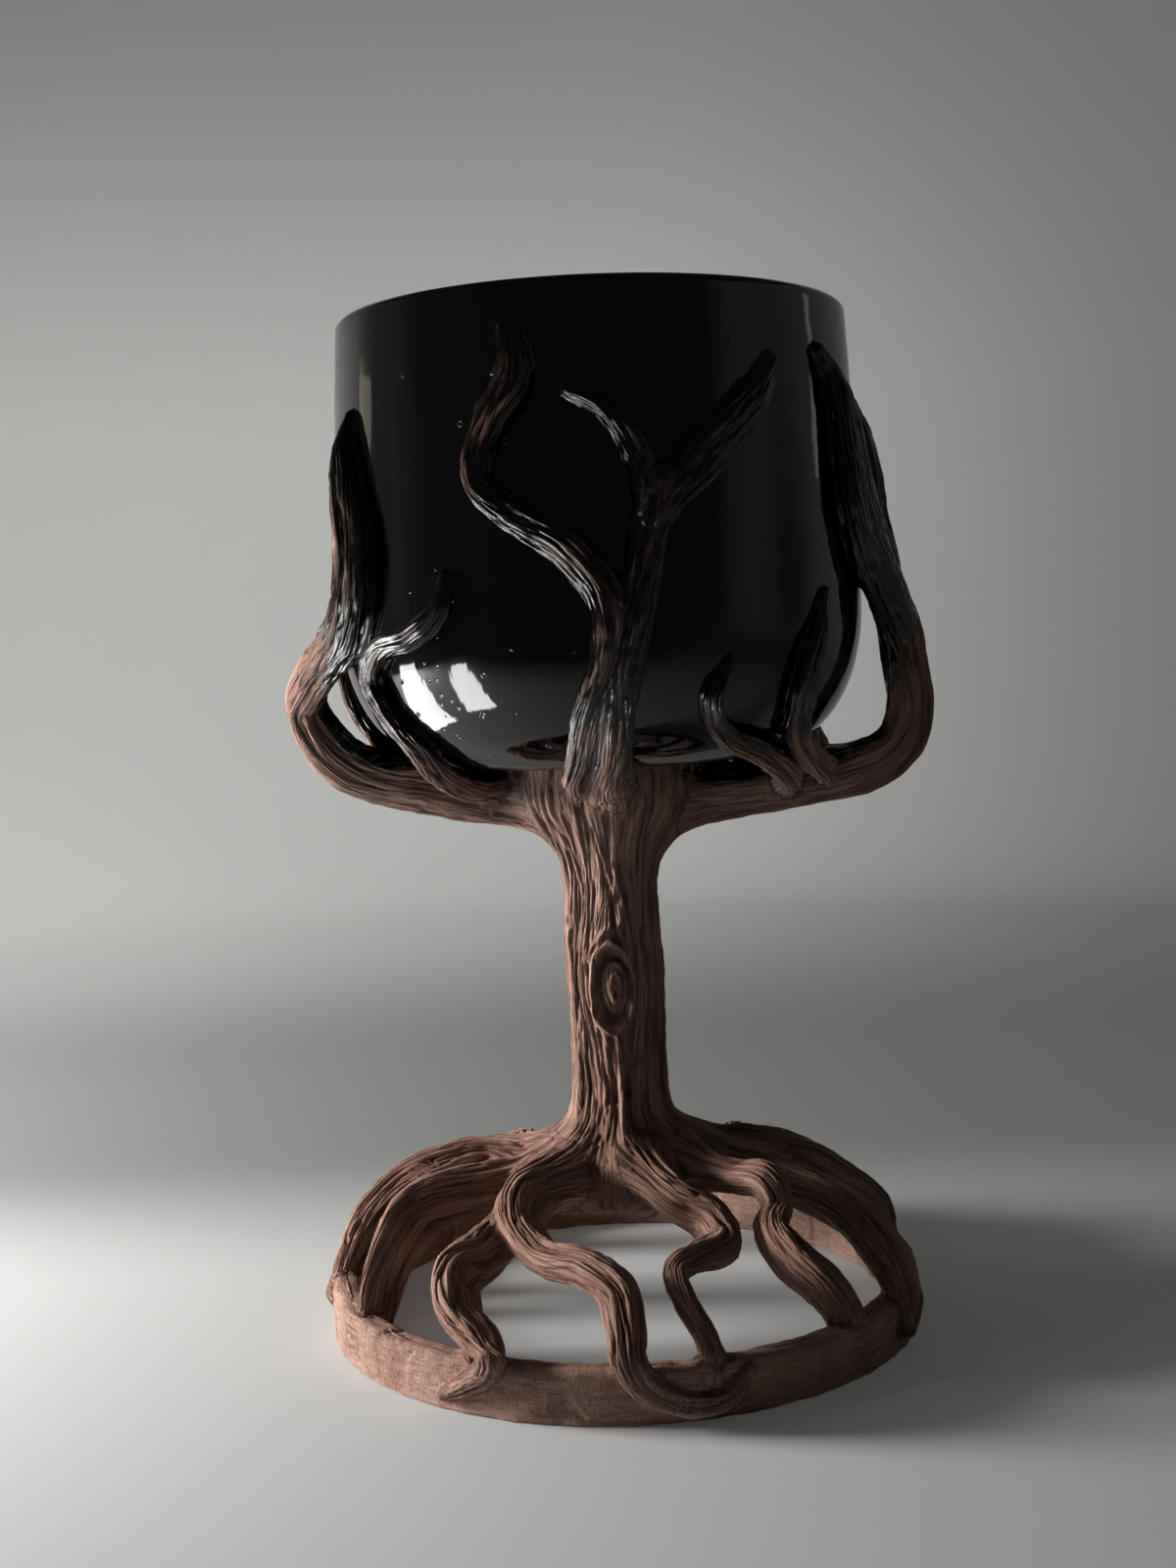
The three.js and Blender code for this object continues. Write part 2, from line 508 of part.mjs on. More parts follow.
// The roots arch from the trunk's bulb to the ring. Some end in its top, others lap over its outer face.
function roots() {
  return {
    root_back_left: sized(ROOT_WIDTH, [
      [root(-104, 0.06, 0.77), 1.2, 1.3],
      [root(-107, 0.31, 0.7), 1.1, 1.45],
      [root(-102, 0.55, 0.65), 1.1, 1.45],
      [root(-98, 0.75, 0.54), 0.95, 1.3],
      [root(-94, 0.89, 0.35), 0.76, 1.1],
      [root(-91, 0.97, 0.1), 0.72, 0.95],
      [root(-89, 1.03, -0.16), 0.74, 0.8],
    ]),
    root_back_left_fork: sized(ROOT_WIDTH, [
      [root(-99, 0.66, 0.6), 0.7, 0.7],
      [root(-103, 0.86, 0.42), 0.8, 0.7],
      [root(-103, 0.98, 0.14), 0.75, 0.65],
      [onRing(-101, 0.2, 0.8), 0.75, 0.6],
      [onRing(-98, 0.8, 0.35), 0.5, 0.4],
    ]),
    root_left: sized(ROOT_WIDTH, [
      [root(-72, 0.06, 0.72), 1.2, 1.25],
      [root(-73, 0.44, 0.67), 0.92, 1.25],
      [root(-69.5, 0.71, 0.61), 0.74, 1.25],
      [root(-65, 0.83, 0.46), 0.6, 1.2],
      [root(-64, 0.91, 0.2), 0.56, 1.1],
      [root(-63.5, 0.98, -0.25), 0.7, 0.9],
    ]),
    root_front: sized(ROOT_WIDTH, [
      [root(-47, 0.06, 0.78), 1.1, 1.2],
      [root(-49, 0.34, 0.71), 0.95, 1.15],
      [root(-40, 0.47, 0.59), 0.9, 1.1],
      [root(-24, 0.6, 0.47), 0.86, 1.05],
      [root(-9, 0.74, 0.47), 0.86, 1.05],
      [root(-2.5, 0.87, 0.4), 0.88, 1],
      [root(-1, 0.99, 0.24), 0.85, 0.9],
      [onRing(-0.5, 0.2, 1.15), 0.82, 0.66],
      [onRing(3, 0.9, 0.62), 0.72, 0.5],
      [onRing(9, 0.8, 0.33), 0.58, 0.44],
      [onRing(15.5, 0.7, 0.36), 0.5, 0.4],
      [onRing(20, 0.3, 0.8), 0.3, 0.3],
    ]),
    root_front_fork: sized(ROOT_WIDTH, [
      [root(-47, 0.36, 0.62), 0.8, 1],
      [root(-46, 0.58, 0.41), 0.85, 1.25],
      [root(-44.5, 0.76, 0.33), 0.88, 1.3],
      [root(-38, 0.89, 0.2), 0.86, 1.25],
      [root(-28, 1, 0.08), 0.8, 1],
      [onRing(-25, 0.4, 1.05), 0.7, 0.66],
      [onRing(-26, 0.8, 0.84), 0.62, 0.52],
      [onRing(-29.5, 0.9, 0.6), 0.5, 0.42],
      [onRing(-34.5, 0.5, 0.3), 0.26, 0.28],
    ]),
    root_front_right: sized(ROOT_WIDTH, [
      [root(18, 0.06, 0.84), 1, 1.1],
      [root(26, 0.26, 0.68), 0.92, 1.1],
      [root(35, 0.4, 0.55), 0.95, 1.25],
      [root(32.5, 0.5, 0.42), 0.88, 1.2],
      [root(20, 0.58, 0.42), 0.7, 0.85],
      [root(12, 0.7, 0.41), 0.62, 0.74],
      [root(11.5, 0.85, 0.31), 0.56, 0.7],
      [root(14, 0.98, 0.08), 0.58, 0.7],
      [root(15.5, 1, -0.3), 0.86, 0.75],
    ]),
    root_right: sized(ROOT_WIDTH, [
      [root(58, 0.06, 0.82), 0.95, 1],
      [root(53, 0.36, 0.78), 0.76, 0.86],
      [root(52, 0.54, 0.78), 0.84, 0.9],
      [root(51, 0.6, 0.62), 0.72, 0.8],
      [root(45, 0.63, 0.52), 0.74, 0.9],
      [root(43, 0.76, 0.36), 0.84, 1.15],
      [root(44, 0.9, 0.22), 0.84, 1.2],
      [root(46, 0.97, 0), 0.8, 1],
      [root(47.5, 0.99, -0.35), 0.9, 0.8],
    ]),
    root_far_right: sized(ROOT_WIDTH, [
      [root(79, 0.06, 0.78), 1.1, 1.15],
      [root(75, 0.38, 0.71), 1, 1.12],
      [root(69, 0.67, 0.6), 1, 1.05],
      [root(65.5, 0.86, 0.46), 1, 1.05],
      [root(64, 0.99, 0.24), 1, 0.98],
      [root(63, 1.06, -0.02), 0.98, 0.84],
      [onRing(60, 0.7, 0.5), 0.66, 0.5],
    ]),
    root_back_right: sized(ROOT_WIDTH, [
      [root(98, 0.06, 0.82), 1.15, 1.15],
      [root(104, 0.36, 0.76), 1, 1.2],
      [root(107, 0.6, 0.61), 0.95, 1.25],
      [root(106, 0.81, 0.38), 0.92, 1.15],
      [root(104, 0.96, 0.17), 0.9, 1],
      [root(103, 0.99, -0.3), 0.95, 0.85],
    ]),
    root_rear_right: sized(ROOT_WIDTH, [
      [root(138, 0.06, 0.68), 1.1, 1.15],
      [root(134, 0.36, 0.59), 0.95, 1.15],
      [root(141, 0.6, 0.57), 0.9, 1.1],
      [root(147, 0.8, 0.45), 0.88, 1.05],
      [root(143, 0.95, 0.14), 0.85, 0.95],
      [root(141, 0.99, -0.3), 0.9, 0.85],
    ]),
    root_rear: sized(ROOT_WIDTH, [
      [root(178, 0.06, 0.7), 1.15, 1.2],
      [root(184, 0.34, 0.61), 1, 1.2],
      [root(179, 0.58, 0.59), 0.92, 1.15],
      [root(175, 0.79, 0.47), 0.88, 1.1],
      [root(178, 0.97, 0.22), 0.85, 0.95],
      [root(181, 1.06, -0.06), 0.8, 0.7],
      [onRing(187, 0.7, 0.45), 0.55, 0.44],
    ]),
    root_rear_left: sized(ROOT_WIDTH, [
      [root(-146, 0.06, 0.66), 1.1, 1.15],
      [root(-141, 0.36, 0.57), 0.95, 1.15],
      [root(-146, 0.6, 0.57), 0.9, 1.1],
      [root(-143, 0.79, 0.41), 0.88, 1],
      [root(-136, 0.94, 0.16), 0.85, 0.9],
      [root(-133, 0.99, -0.3), 0.9, 0.8],
    ]),
  };
}

// Each piece as it is added is cut clear of every piece before it by the slip, and offcuts are dropped.
const placed = [];
const chalice = new THREE.Group();

function largest(solid) {
  return solid.decompose().sort((a, b) => b.volume() - a.volume())[0];
}

function place(name, shape, material) {
  let solid = shape(0);
  for (const other of placed) solid = solid.subtract(other);
  solid = largest(solid);
  placed.push(shape(SLIP));
  chalice.add(toMesh(name, solid, material));
}

// Coils are trimmed flat just clear of the table, so that the chalice stands on its ring alone.
function placeCoils(coils, core, material) {
  for (const [name, stations] of Object.entries(coils)) {
    place(name, (grow) => coil(stations, core, grow).trimByPlane([0, 0, 1], ROOT_LIFT - grow), material);
  }
}

place("cup", cupSolid, glaze);
place("foot_ring", footSolid, clay);
place("trunk", trunkWithKnot, clay);
chalice.add(toMesh("trunk_knot", knotSolid(0), clay));
placeCoils(limbs(), cupCore, glazedClay);
placeCoils(branches(), cupCore, glazedClay);
placeCoils(roots(), footCore, clay);

export default chalice;
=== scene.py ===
"""The chalice as it looks: a gloss black cup, gripped by a tree of scored stoneware coils on a ring foot."""
import math

import bpy
import numpy as np
from mathutils import Matrix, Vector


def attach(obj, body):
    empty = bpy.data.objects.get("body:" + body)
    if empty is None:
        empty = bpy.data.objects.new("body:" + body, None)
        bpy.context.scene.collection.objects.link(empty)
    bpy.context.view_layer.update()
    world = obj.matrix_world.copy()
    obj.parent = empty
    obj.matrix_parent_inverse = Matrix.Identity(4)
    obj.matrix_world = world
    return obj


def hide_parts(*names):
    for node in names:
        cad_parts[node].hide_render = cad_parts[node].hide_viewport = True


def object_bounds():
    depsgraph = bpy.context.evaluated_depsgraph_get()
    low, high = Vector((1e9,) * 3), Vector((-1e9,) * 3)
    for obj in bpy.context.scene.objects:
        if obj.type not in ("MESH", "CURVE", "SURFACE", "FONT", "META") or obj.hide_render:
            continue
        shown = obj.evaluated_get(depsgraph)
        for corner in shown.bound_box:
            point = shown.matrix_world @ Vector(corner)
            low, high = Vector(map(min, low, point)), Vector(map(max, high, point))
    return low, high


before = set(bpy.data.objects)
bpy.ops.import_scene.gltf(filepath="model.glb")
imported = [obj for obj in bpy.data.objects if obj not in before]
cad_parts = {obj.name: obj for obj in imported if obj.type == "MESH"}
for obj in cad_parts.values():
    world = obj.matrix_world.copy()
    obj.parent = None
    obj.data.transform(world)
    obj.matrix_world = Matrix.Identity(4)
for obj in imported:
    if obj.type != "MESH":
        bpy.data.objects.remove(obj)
cad_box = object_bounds()

MM = 0.001

# Sizes in mm, the same as the solids have
CUP_SEAT = 116
CUP_HEIGHT = 89
CUP_BASE_RADIUS = 31
CUP_BELLY_RADIUS = 53.2
CUP_BELLY_RISE = 30
CUP_RIM_RADIUS = 51.4
CUP_WALL = 3.6
CUP_LIP = 2.4
CUP_FLOOR = 5
FOOT_RADIUS = 61.4
FOOT_WALL = 6.5
FOOT_HEIGHT = 10.2
FOOT_EDGE = 2.2
TRUNK_RADIUS = 10
TRUNK_CROWN_RADIUS = 18
TRUNK_BULB_RADIUS = 14.5
ROOT_CROWN = 38
BULB_UNDERSIDE = 22
LIMB_WIDTH = 12
BRANCH_WIDTH = 8
ROOT_WIDTH = 9
KNOT_HEIGHT = 70
KNOT_AZIMUTH = -3
KNOT_HALF_WIDTH = 3.9
KNOT_HALF_HEIGHT = 7.8
KNOT_DEPTH = 2.6
KNOT_CORE = 0.72
KNOT_CORE_AZIMUTH = 0.4
KNOT_CORE_DEPTH = 1.7
KNOT_LID = 1.9
ROOT_LIFT = 0.6
SLIP = 0.3

# How fine the skins are: steps in mm, and how many rows and sides
ROW_STEP = 0.75
SIDE_STEP = 0.19
TRUNK_STEP = 0.45
TRUNK_SIDES = 340
RING_STEPS = 84
RING_SIDES = 860
CUP_STEPS = 230
CUP_SIDES = 380


# Places

def polar(azimuth, radius, height):
    """A point about the upright axis; azimuth is in degrees from the front towards the right."""
    turn = math.radians(azimuth)
    return np.array([radius * math.sin(turn), -radius * math.cos(turn), height])


def bezier(points, count):
    """Points along the Bezier curve of these handles."""
    last = len(points) - 1
    t = np.linspace(0, 1, count)[:, None]
    shares = [math.comb(last, k) * t**k * (1 - t) ** (last - k) for k in range(last + 1)]
    return sum(share * np.array(point, float) for share, point in zip(shares, points))


def spin(radius, height, azimuth):
    """Rows of points about the upright axis."""
    return np.stack([radius * np.sin(azimuth), -radius * np.cos(azimuth), height + 0 * azimuth], 2)


def along_line(line):
    """How far each point of a line is from its start, along it."""
    return np.concatenate([[0], np.cumsum(np.linalg.norm(np.diff(line, axis=0), axis=1))])


def even_steps(line, count, closed=False):
    """A radius and a height for each of this many rows, at even steps along a line."""
    arc = along_line(line)
    even = np.linspace(0, arc[-1], count, endpoint=not closed)
    return (np.interp(even, arc, line[:, k])[:, None] for k in range(2))


def cup_wall():
    """The cup's outside as radius and height over its seat, from the edge of its flat base to the lip."""
    under = CUP_BASE_RADIUS + 0.56 * (CUP_BELLY_RADIUS - CUP_BASE_RADIUS)
    widest = (CUP_BELLY_RADIUS, CUP_BELLY_RISE)
    rim = (CUP_RIM_RADIUS, CUP_HEIGHT - CUP_LIP / 2)
    start = (CUP_BASE_RADIUS, 0)
    belly = [start, (under, 0.02 * CUP_BELLY_RISE), (CUP_BELLY_RADIUS, 0.38 * CUP_BELLY_RISE), widest]
    side = [widest, (CUP_BELLY_RADIUS, (widest[1] + rim[1]) / 2), rim]
    return np.vstack([bezier(belly, 70), bezier(side, 90)[1:]])


CUP_LINE = cup_wall()
CUP_SLOPE = np.arctan2(np.gradient(CUP_LINE[:, 1]), np.gradient(CUP_LINE[:, 0]))


def on_cup(azimuth, up, lift):
    """A point off the cup's wall: up is a share of its height, lift the distance out from the glaze."""
    height = up * CUP_HEIGHT
    radius = np.interp(height, CUP_LINE[:, 1], CUP_LINE[:, 0])
    slope = np.interp(height, CUP_LINE[:, 1], CUP_SLOPE)
    return polar(azimuth, radius + lift * math.sin(slope), CUP_SEAT + height - lift * math.cos(slope))


def under_cup(azimuth, reach, drop):
    """A point below the cup: reach is a share of the belly's radius, drop the distance under the seat."""
    return polar(azimuth, reach * CUP_BELLY_RADIUS, CUP_SEAT - drop)


def beside_cup(azimuth, out, up):
    """A point in the open beside the belly."""
    return polar(azimuth, CUP_BELLY_RADIUS + out, CUP_SEAT + up * CUP_HEIGHT)


def root(azimuth, reach, rise):
    """A point of a root: reach is 0 on the trunk and 1 on the ring,
    and rise is 0 at the ring's top and 1 at the crown of the roots."""
    radius = TRUNK_RADIUS + reach * (FOOT_RADIUS - FOOT_WALL / 2 - TRUNK_RADIUS)
    return polar(azimuth, radius, FOOT_HEIGHT + rise * (ROOT_CROWN - FOOT_HEIGHT))


def on_ring(azimuth, lift, share):
    """A point on the ring's outer face: share is 0 at its underside and 1 at its top."""
    return polar(azimuth, FOOT_RADIUS + lift, share * FOOT_HEIGHT)


# Each coil: its width, then its stations as a point and shares of that width across and deep
LIMBS = {
    "limb_left": (LIMB_WIDTH, [
        (under_cup(-88, 0.12, 7), 1, 0.95),
        (under_cup(-88, 0.39, 6.4), 1, 1.1),
        (under_cup(-87, 0.68, 3.6), 0.96, 1.1),
        (beside_cup(-86, -2, 0.003), 0.93, 1),
        (beside_cup(-85, 4.6, 0.074), 0.9, 0.88),
        (beside_cup(-84, 7.6, 0.155), 0.8, 0.74),
        (beside_cup(-77, 5.1, 0.23), 0.8, 0.7),
        (beside_cup(-69, 3, 0.275), 0.84, 0.7),
        (on_cup(-62, 0.33, 2.2), 0.92, 0.7),
        (on_cup(-58.5, 0.42, 1.9), 0.98, 0.66),
        (on_cup(-58.5, 0.52, 1.7), 0.96, 0.62),
        (on_cup(-60.5, 0.62, 1.6), 0.8, 0.58),
        (on_cup(-62, 0.705, 1.2), 0.56, 0.46),
        (on_cup(-61, 0.77, 0.5), 0.26, 0.24),
    ]),
    "limb_right": (LIMB_WIDTH, [
        (under_cup(85, 0.12, 8.5), 1.05, 1),
        (under_cup(85, 0.33, 8), 1.08, 1.02),
        (under_cup(85, 0.8, 5), 1.08, 1.08),
        (under_cup(85, 1.01, 2.6), 1, 1),
        (beside_cup(85, 6.8, 0.02), 0.92, 0.88),
        (beside_cup(85, 9.1, 0.095), 0.86, 0.84),
        (beside_cup(84, 8.5, 0.19), 0.84, 0.8),
        (beside_cup(82, 7.6, 0.27), 0.86, 0.78),
        (beside_cup(77, 5.4, 0.35), 0.94, 0.74),
        (on_cup(71, 0.43, 3.2), 1.06, 0.7),
        (on_cup(66, 0.53, 2.2), 1.15, 0.64),
        (on_cup(63, 0.64, 1.7), 1.08, 0.58),
        (on_cup(60.5, 0.75, 1.3), 0.82, 0.5),
        (on_cup(57, 0.82, 0.9), 0.5, 0.38),
        (on_cup(53.5, 0.865, 0.5), 0.26, 0.24),
    ]),
    "limb_front": (LIMB_WIDTH, [
        (polar(3, TRUNK_RADIUS + 3, CUP_SEAT - 8), 0.62, 0.46),
        (under_cup(1, 0.32, 5.4), 0.85, 0.62),
        (under_cup(0, 0.54, 3.2), 0.9, 0.68),
        (under_cup(0, 0.75, 0.4), 0.82, 0.62),
        (on_cup(0.8, 0.055, 2.8), 0.7, 0.58),
        (on_cup(1.8, 0.13, 1.6), 0.62, 0.54),
        (on_cup(5, 0.28, 1.3), 0.62, 0.5),
        (on_cup(8.4, 0.44, 1.2), 0.62, 0.48),
        (on_cup(11, 0.575, 1), 0.58, 0.42),
    ]),
    "limb_back": (LIMB_WIDTH, [
        (polar(177, TRUNK_RADIUS + 0.8, CUP_SEAT - 12), 0.75, 0.52),
        (under_cup(178, 0.32, 6), 0.95, 0.68),
        (under_cup(180, 0.55, 3.4), 1, 0.72),
        (under_cup(180, 0.76, 0.4), 0.92, 0.66),
        (on_cup(178, 0.07, 2.6), 0.82, 0.6),
        (on_cup(174, 0.18, 1.5), 0.76, 0.54),
        (on_cup(172, 0.32, 1.3), 0.72, 0.52),
        (on_cup(175, 0.45, 1.1), 0.66, 0.46),
    ]),
}
BRANCHES = {
    "branch_right_outer": (BRANCH_WIDTH, [
        (beside_cup(83, 5.6, 0.32), 0.8, 0.7),
        (beside_cup(85, 5, 0.42), 1, 0.82),
        (beside_cup(85, 3.4, 0.53), 1, 0.76),
        (beside_cup(83, 2.2, 0.645), 0.84, 0.66),
        (beside_cup(79, 0.9, 0.72), 0.6, 0.5),
        (on_cup(73, 0.775, 0.6), 0.28, 0.26),
    ]),
    "twig_front_right": (BRANCH_WIDTH, [
        (on_cup(11.5, 0.535, 1.2), 0.8, 0.6),
        (on_cup(18.5, 0.62, 1.2), 1.15, 0.7),
        (on_cup(25.5, 0.69, 1.2), 1.15, 0.66),
        (on_cup(32.5, 0.76, 1), 0.94, 0.5),
        (on_cup(38, 0.83, 0.6), 0.5, 0.34),
    ]),
    "twig_front_left": (BRANCH_WIDTH, [
        (on_cup(11.4, 0.53, 1.2), 0.6, 0.55),
        (on_cup(8.3, 0.62, 1.1), 0.68, 0.56),
        (on_cup(5.4, 0.685, 1), 0.6, 0.5),
        (on_cup(0.6, 0.738, 0.8), 0.45, 0.4),
        (on_cup(-5.5, 0.768, 0.5), 0.22, 0.22),
    ]),
    "branch_front_left": (BRANCH_WIDTH, [
        (under_cup(-10, 0.56, 3.6), 0.7, 0.7),
        (under_cup(-9, 0.76, 0.6), 0.72, 0.7),
        (on_cup(-6.5, 0.055, 2.4), 0.72, 0.64),
        (on_cup(-3.6, 0.14, 1.5), 0.74, 0.62),
        (on_cup(0.6, 0.245, 1.5), 0.84, 0.66),
        (on_cup(0.4, 0.365, 1.5), 0.94, 0.68),
        (on_cup(-7, 0.465, 1.3), 0.94, 0.66),
        (on_cup(-18, 0.54, 1.2), 0.82, 0.6),
        (on_cup(-24, 0.61, 1.1), 0.72, 0.56),
        (on_cup(-21, 0.715, 1.1), 0.86, 0.58),
        (on_cup(-15.6, 0.805, 0.9), 0.98, 0.54),
        (on_cup(-16.4, 0.9, 0.5), 0.56, 0.32),
    ]),
    "curl_left": (BRANCH_WIDTH, [
        (under_cup(-76, 0.46, 4.6), 0.8, 0.8),
        (under_cup(-58, 0.62, 3.4), 0.74, 0.74),
        (under_cup(-51, 0.79, -0.2), 0.68, 0.68),
        (on_cup(-51, 0.075, 2), 0.66, 0.62),
        (on_cup(-55.5, 0.15, 1.5), 0.64, 0.58),
        (on_cup(-57, 0.215, 1.4), 0.64, 0.56),
        (on_cup(-51, 0.277, 1.3), 0.62, 0.54),
        (on_cup(-40.5, 0.303, 1.2), 0.6, 0.5),
        (on_cup(-34, 0.35, 1), 0.46, 0.42),
        (on_cup(-32, 0.42, 0.6), 0.22, 0.22),
    ]),
    "hook_right": (BRANCH_WIDTH, [
        (under_cup(76, 0.7, 5.5), 0.8, 0.8),
        (under_cup(54, 0.8, 2.2), 0.74, 0.72),
        (under_cup(41, 0.84, -1.8), 0.66, 0.64),
        (on_cup(29, 0.075, 2), 0.6, 0.56),
        (on_cup(23.5, 0.115, 1.6), 0.56, 0.52),
        (on_cup(22.5, 0.165, 1.2), 0.5, 0.46),
        (on_cup(25.5, 0.225, 0.6), 0.28, 0.26),
    ]),
    "spear_right": (BRANCH_WIDTH, [
        (under_cup(72, 0.86, 3), 0.8, 0.8),
        (under_cup(58, 0.9, 0.6), 0.72, 0.72),
        (on_cup(50, 0.08, 2.4), 0.7, 0.66),
        (on_cup(46, 0.15, 1.6), 0.8, 0.6),
        (on_cup(46.5, 0.22, 1.3), 0.86, 0.56),
        (on_cup(49, 0.29, 1), 0.62, 0.44),
        (on_cup(51.5, 0.36, 0.5), 0.26, 0.26),
    ]),
    "branch_back_left": (BRANCH_WIDTH, [
        (under_cup(-92, 0.82, 0.6), 0.86, 0.86),
        (on_cup(-95, 0.07, 2.4), 0.84, 0.8),
        (on_cup(-97, 0.18, 1.7), 0.82, 0.7),
        (on_cup(-98, 0.3, 1), 0.82, 0.6),
        (on_cup(-97, 0.43, 0.9), 0.78, 0.54),
        (on_cup(-101, 0.54, 0.9), 0.7, 0.5),
        (on_cup(-110, 0.63, 0.8), 0.56, 0.44),
        (on_cup(-117, 0.71, 0.5), 0.26, 0.26),
    ]),
    "branch_back_right": (BRANCH_WIDTH, [
        (under_cup(92, 0.72, 4.6), 0.86, 0.86),
        (under_cup(104, 0.86, 0.4), 0.84, 0.82),
        (on_cup(115, 0.08, 2), 0.84, 0.74),
        (on_cup(122, 0.19, 1.5), 0.86, 0.68),
        (on_cup(121, 0.32, 1.3), 0.82, 0.62),
        (on_cup(127, 0.435, 1.2), 0.74, 0.56),
        (on_cup(139, 0.51, 1), 0.56, 0.46),
        (on_cup(149, 0.6, 0.5), 0.26, 0.26),
    ]),
    "twig_back_right": (BRANCH_WIDTH, [
        (on_cup(174, 0.4, 1.2), 0.72, 0.6),
        (on_cup(168, 0.52, 1.2), 0.92, 0.64),
        (on_cup(158, 0.62, 1.1), 0.84, 0.56),
        (on_cup(150, 0.7, 0.8), 0.56, 0.44),
        (on_cup(146, 0.78, 0.5), 0.24, 0.24),
    ]),
    "twig_back_left": (BRANCH_WIDTH, [
        (on_cup(175, 0.41, 1.2), 0.66, 0.56),
        (on_cup(181, 0.52, 1.2), 0.82, 0.6),
        (on_cup(188, 0.64, 1.1), 0.74, 0.54),
        (on_cup(186, 0.76, 0.9), 0.56, 0.46),
        (on_cup(180, 0.85, 0.5), 0.24, 0.24),
    ]),
}
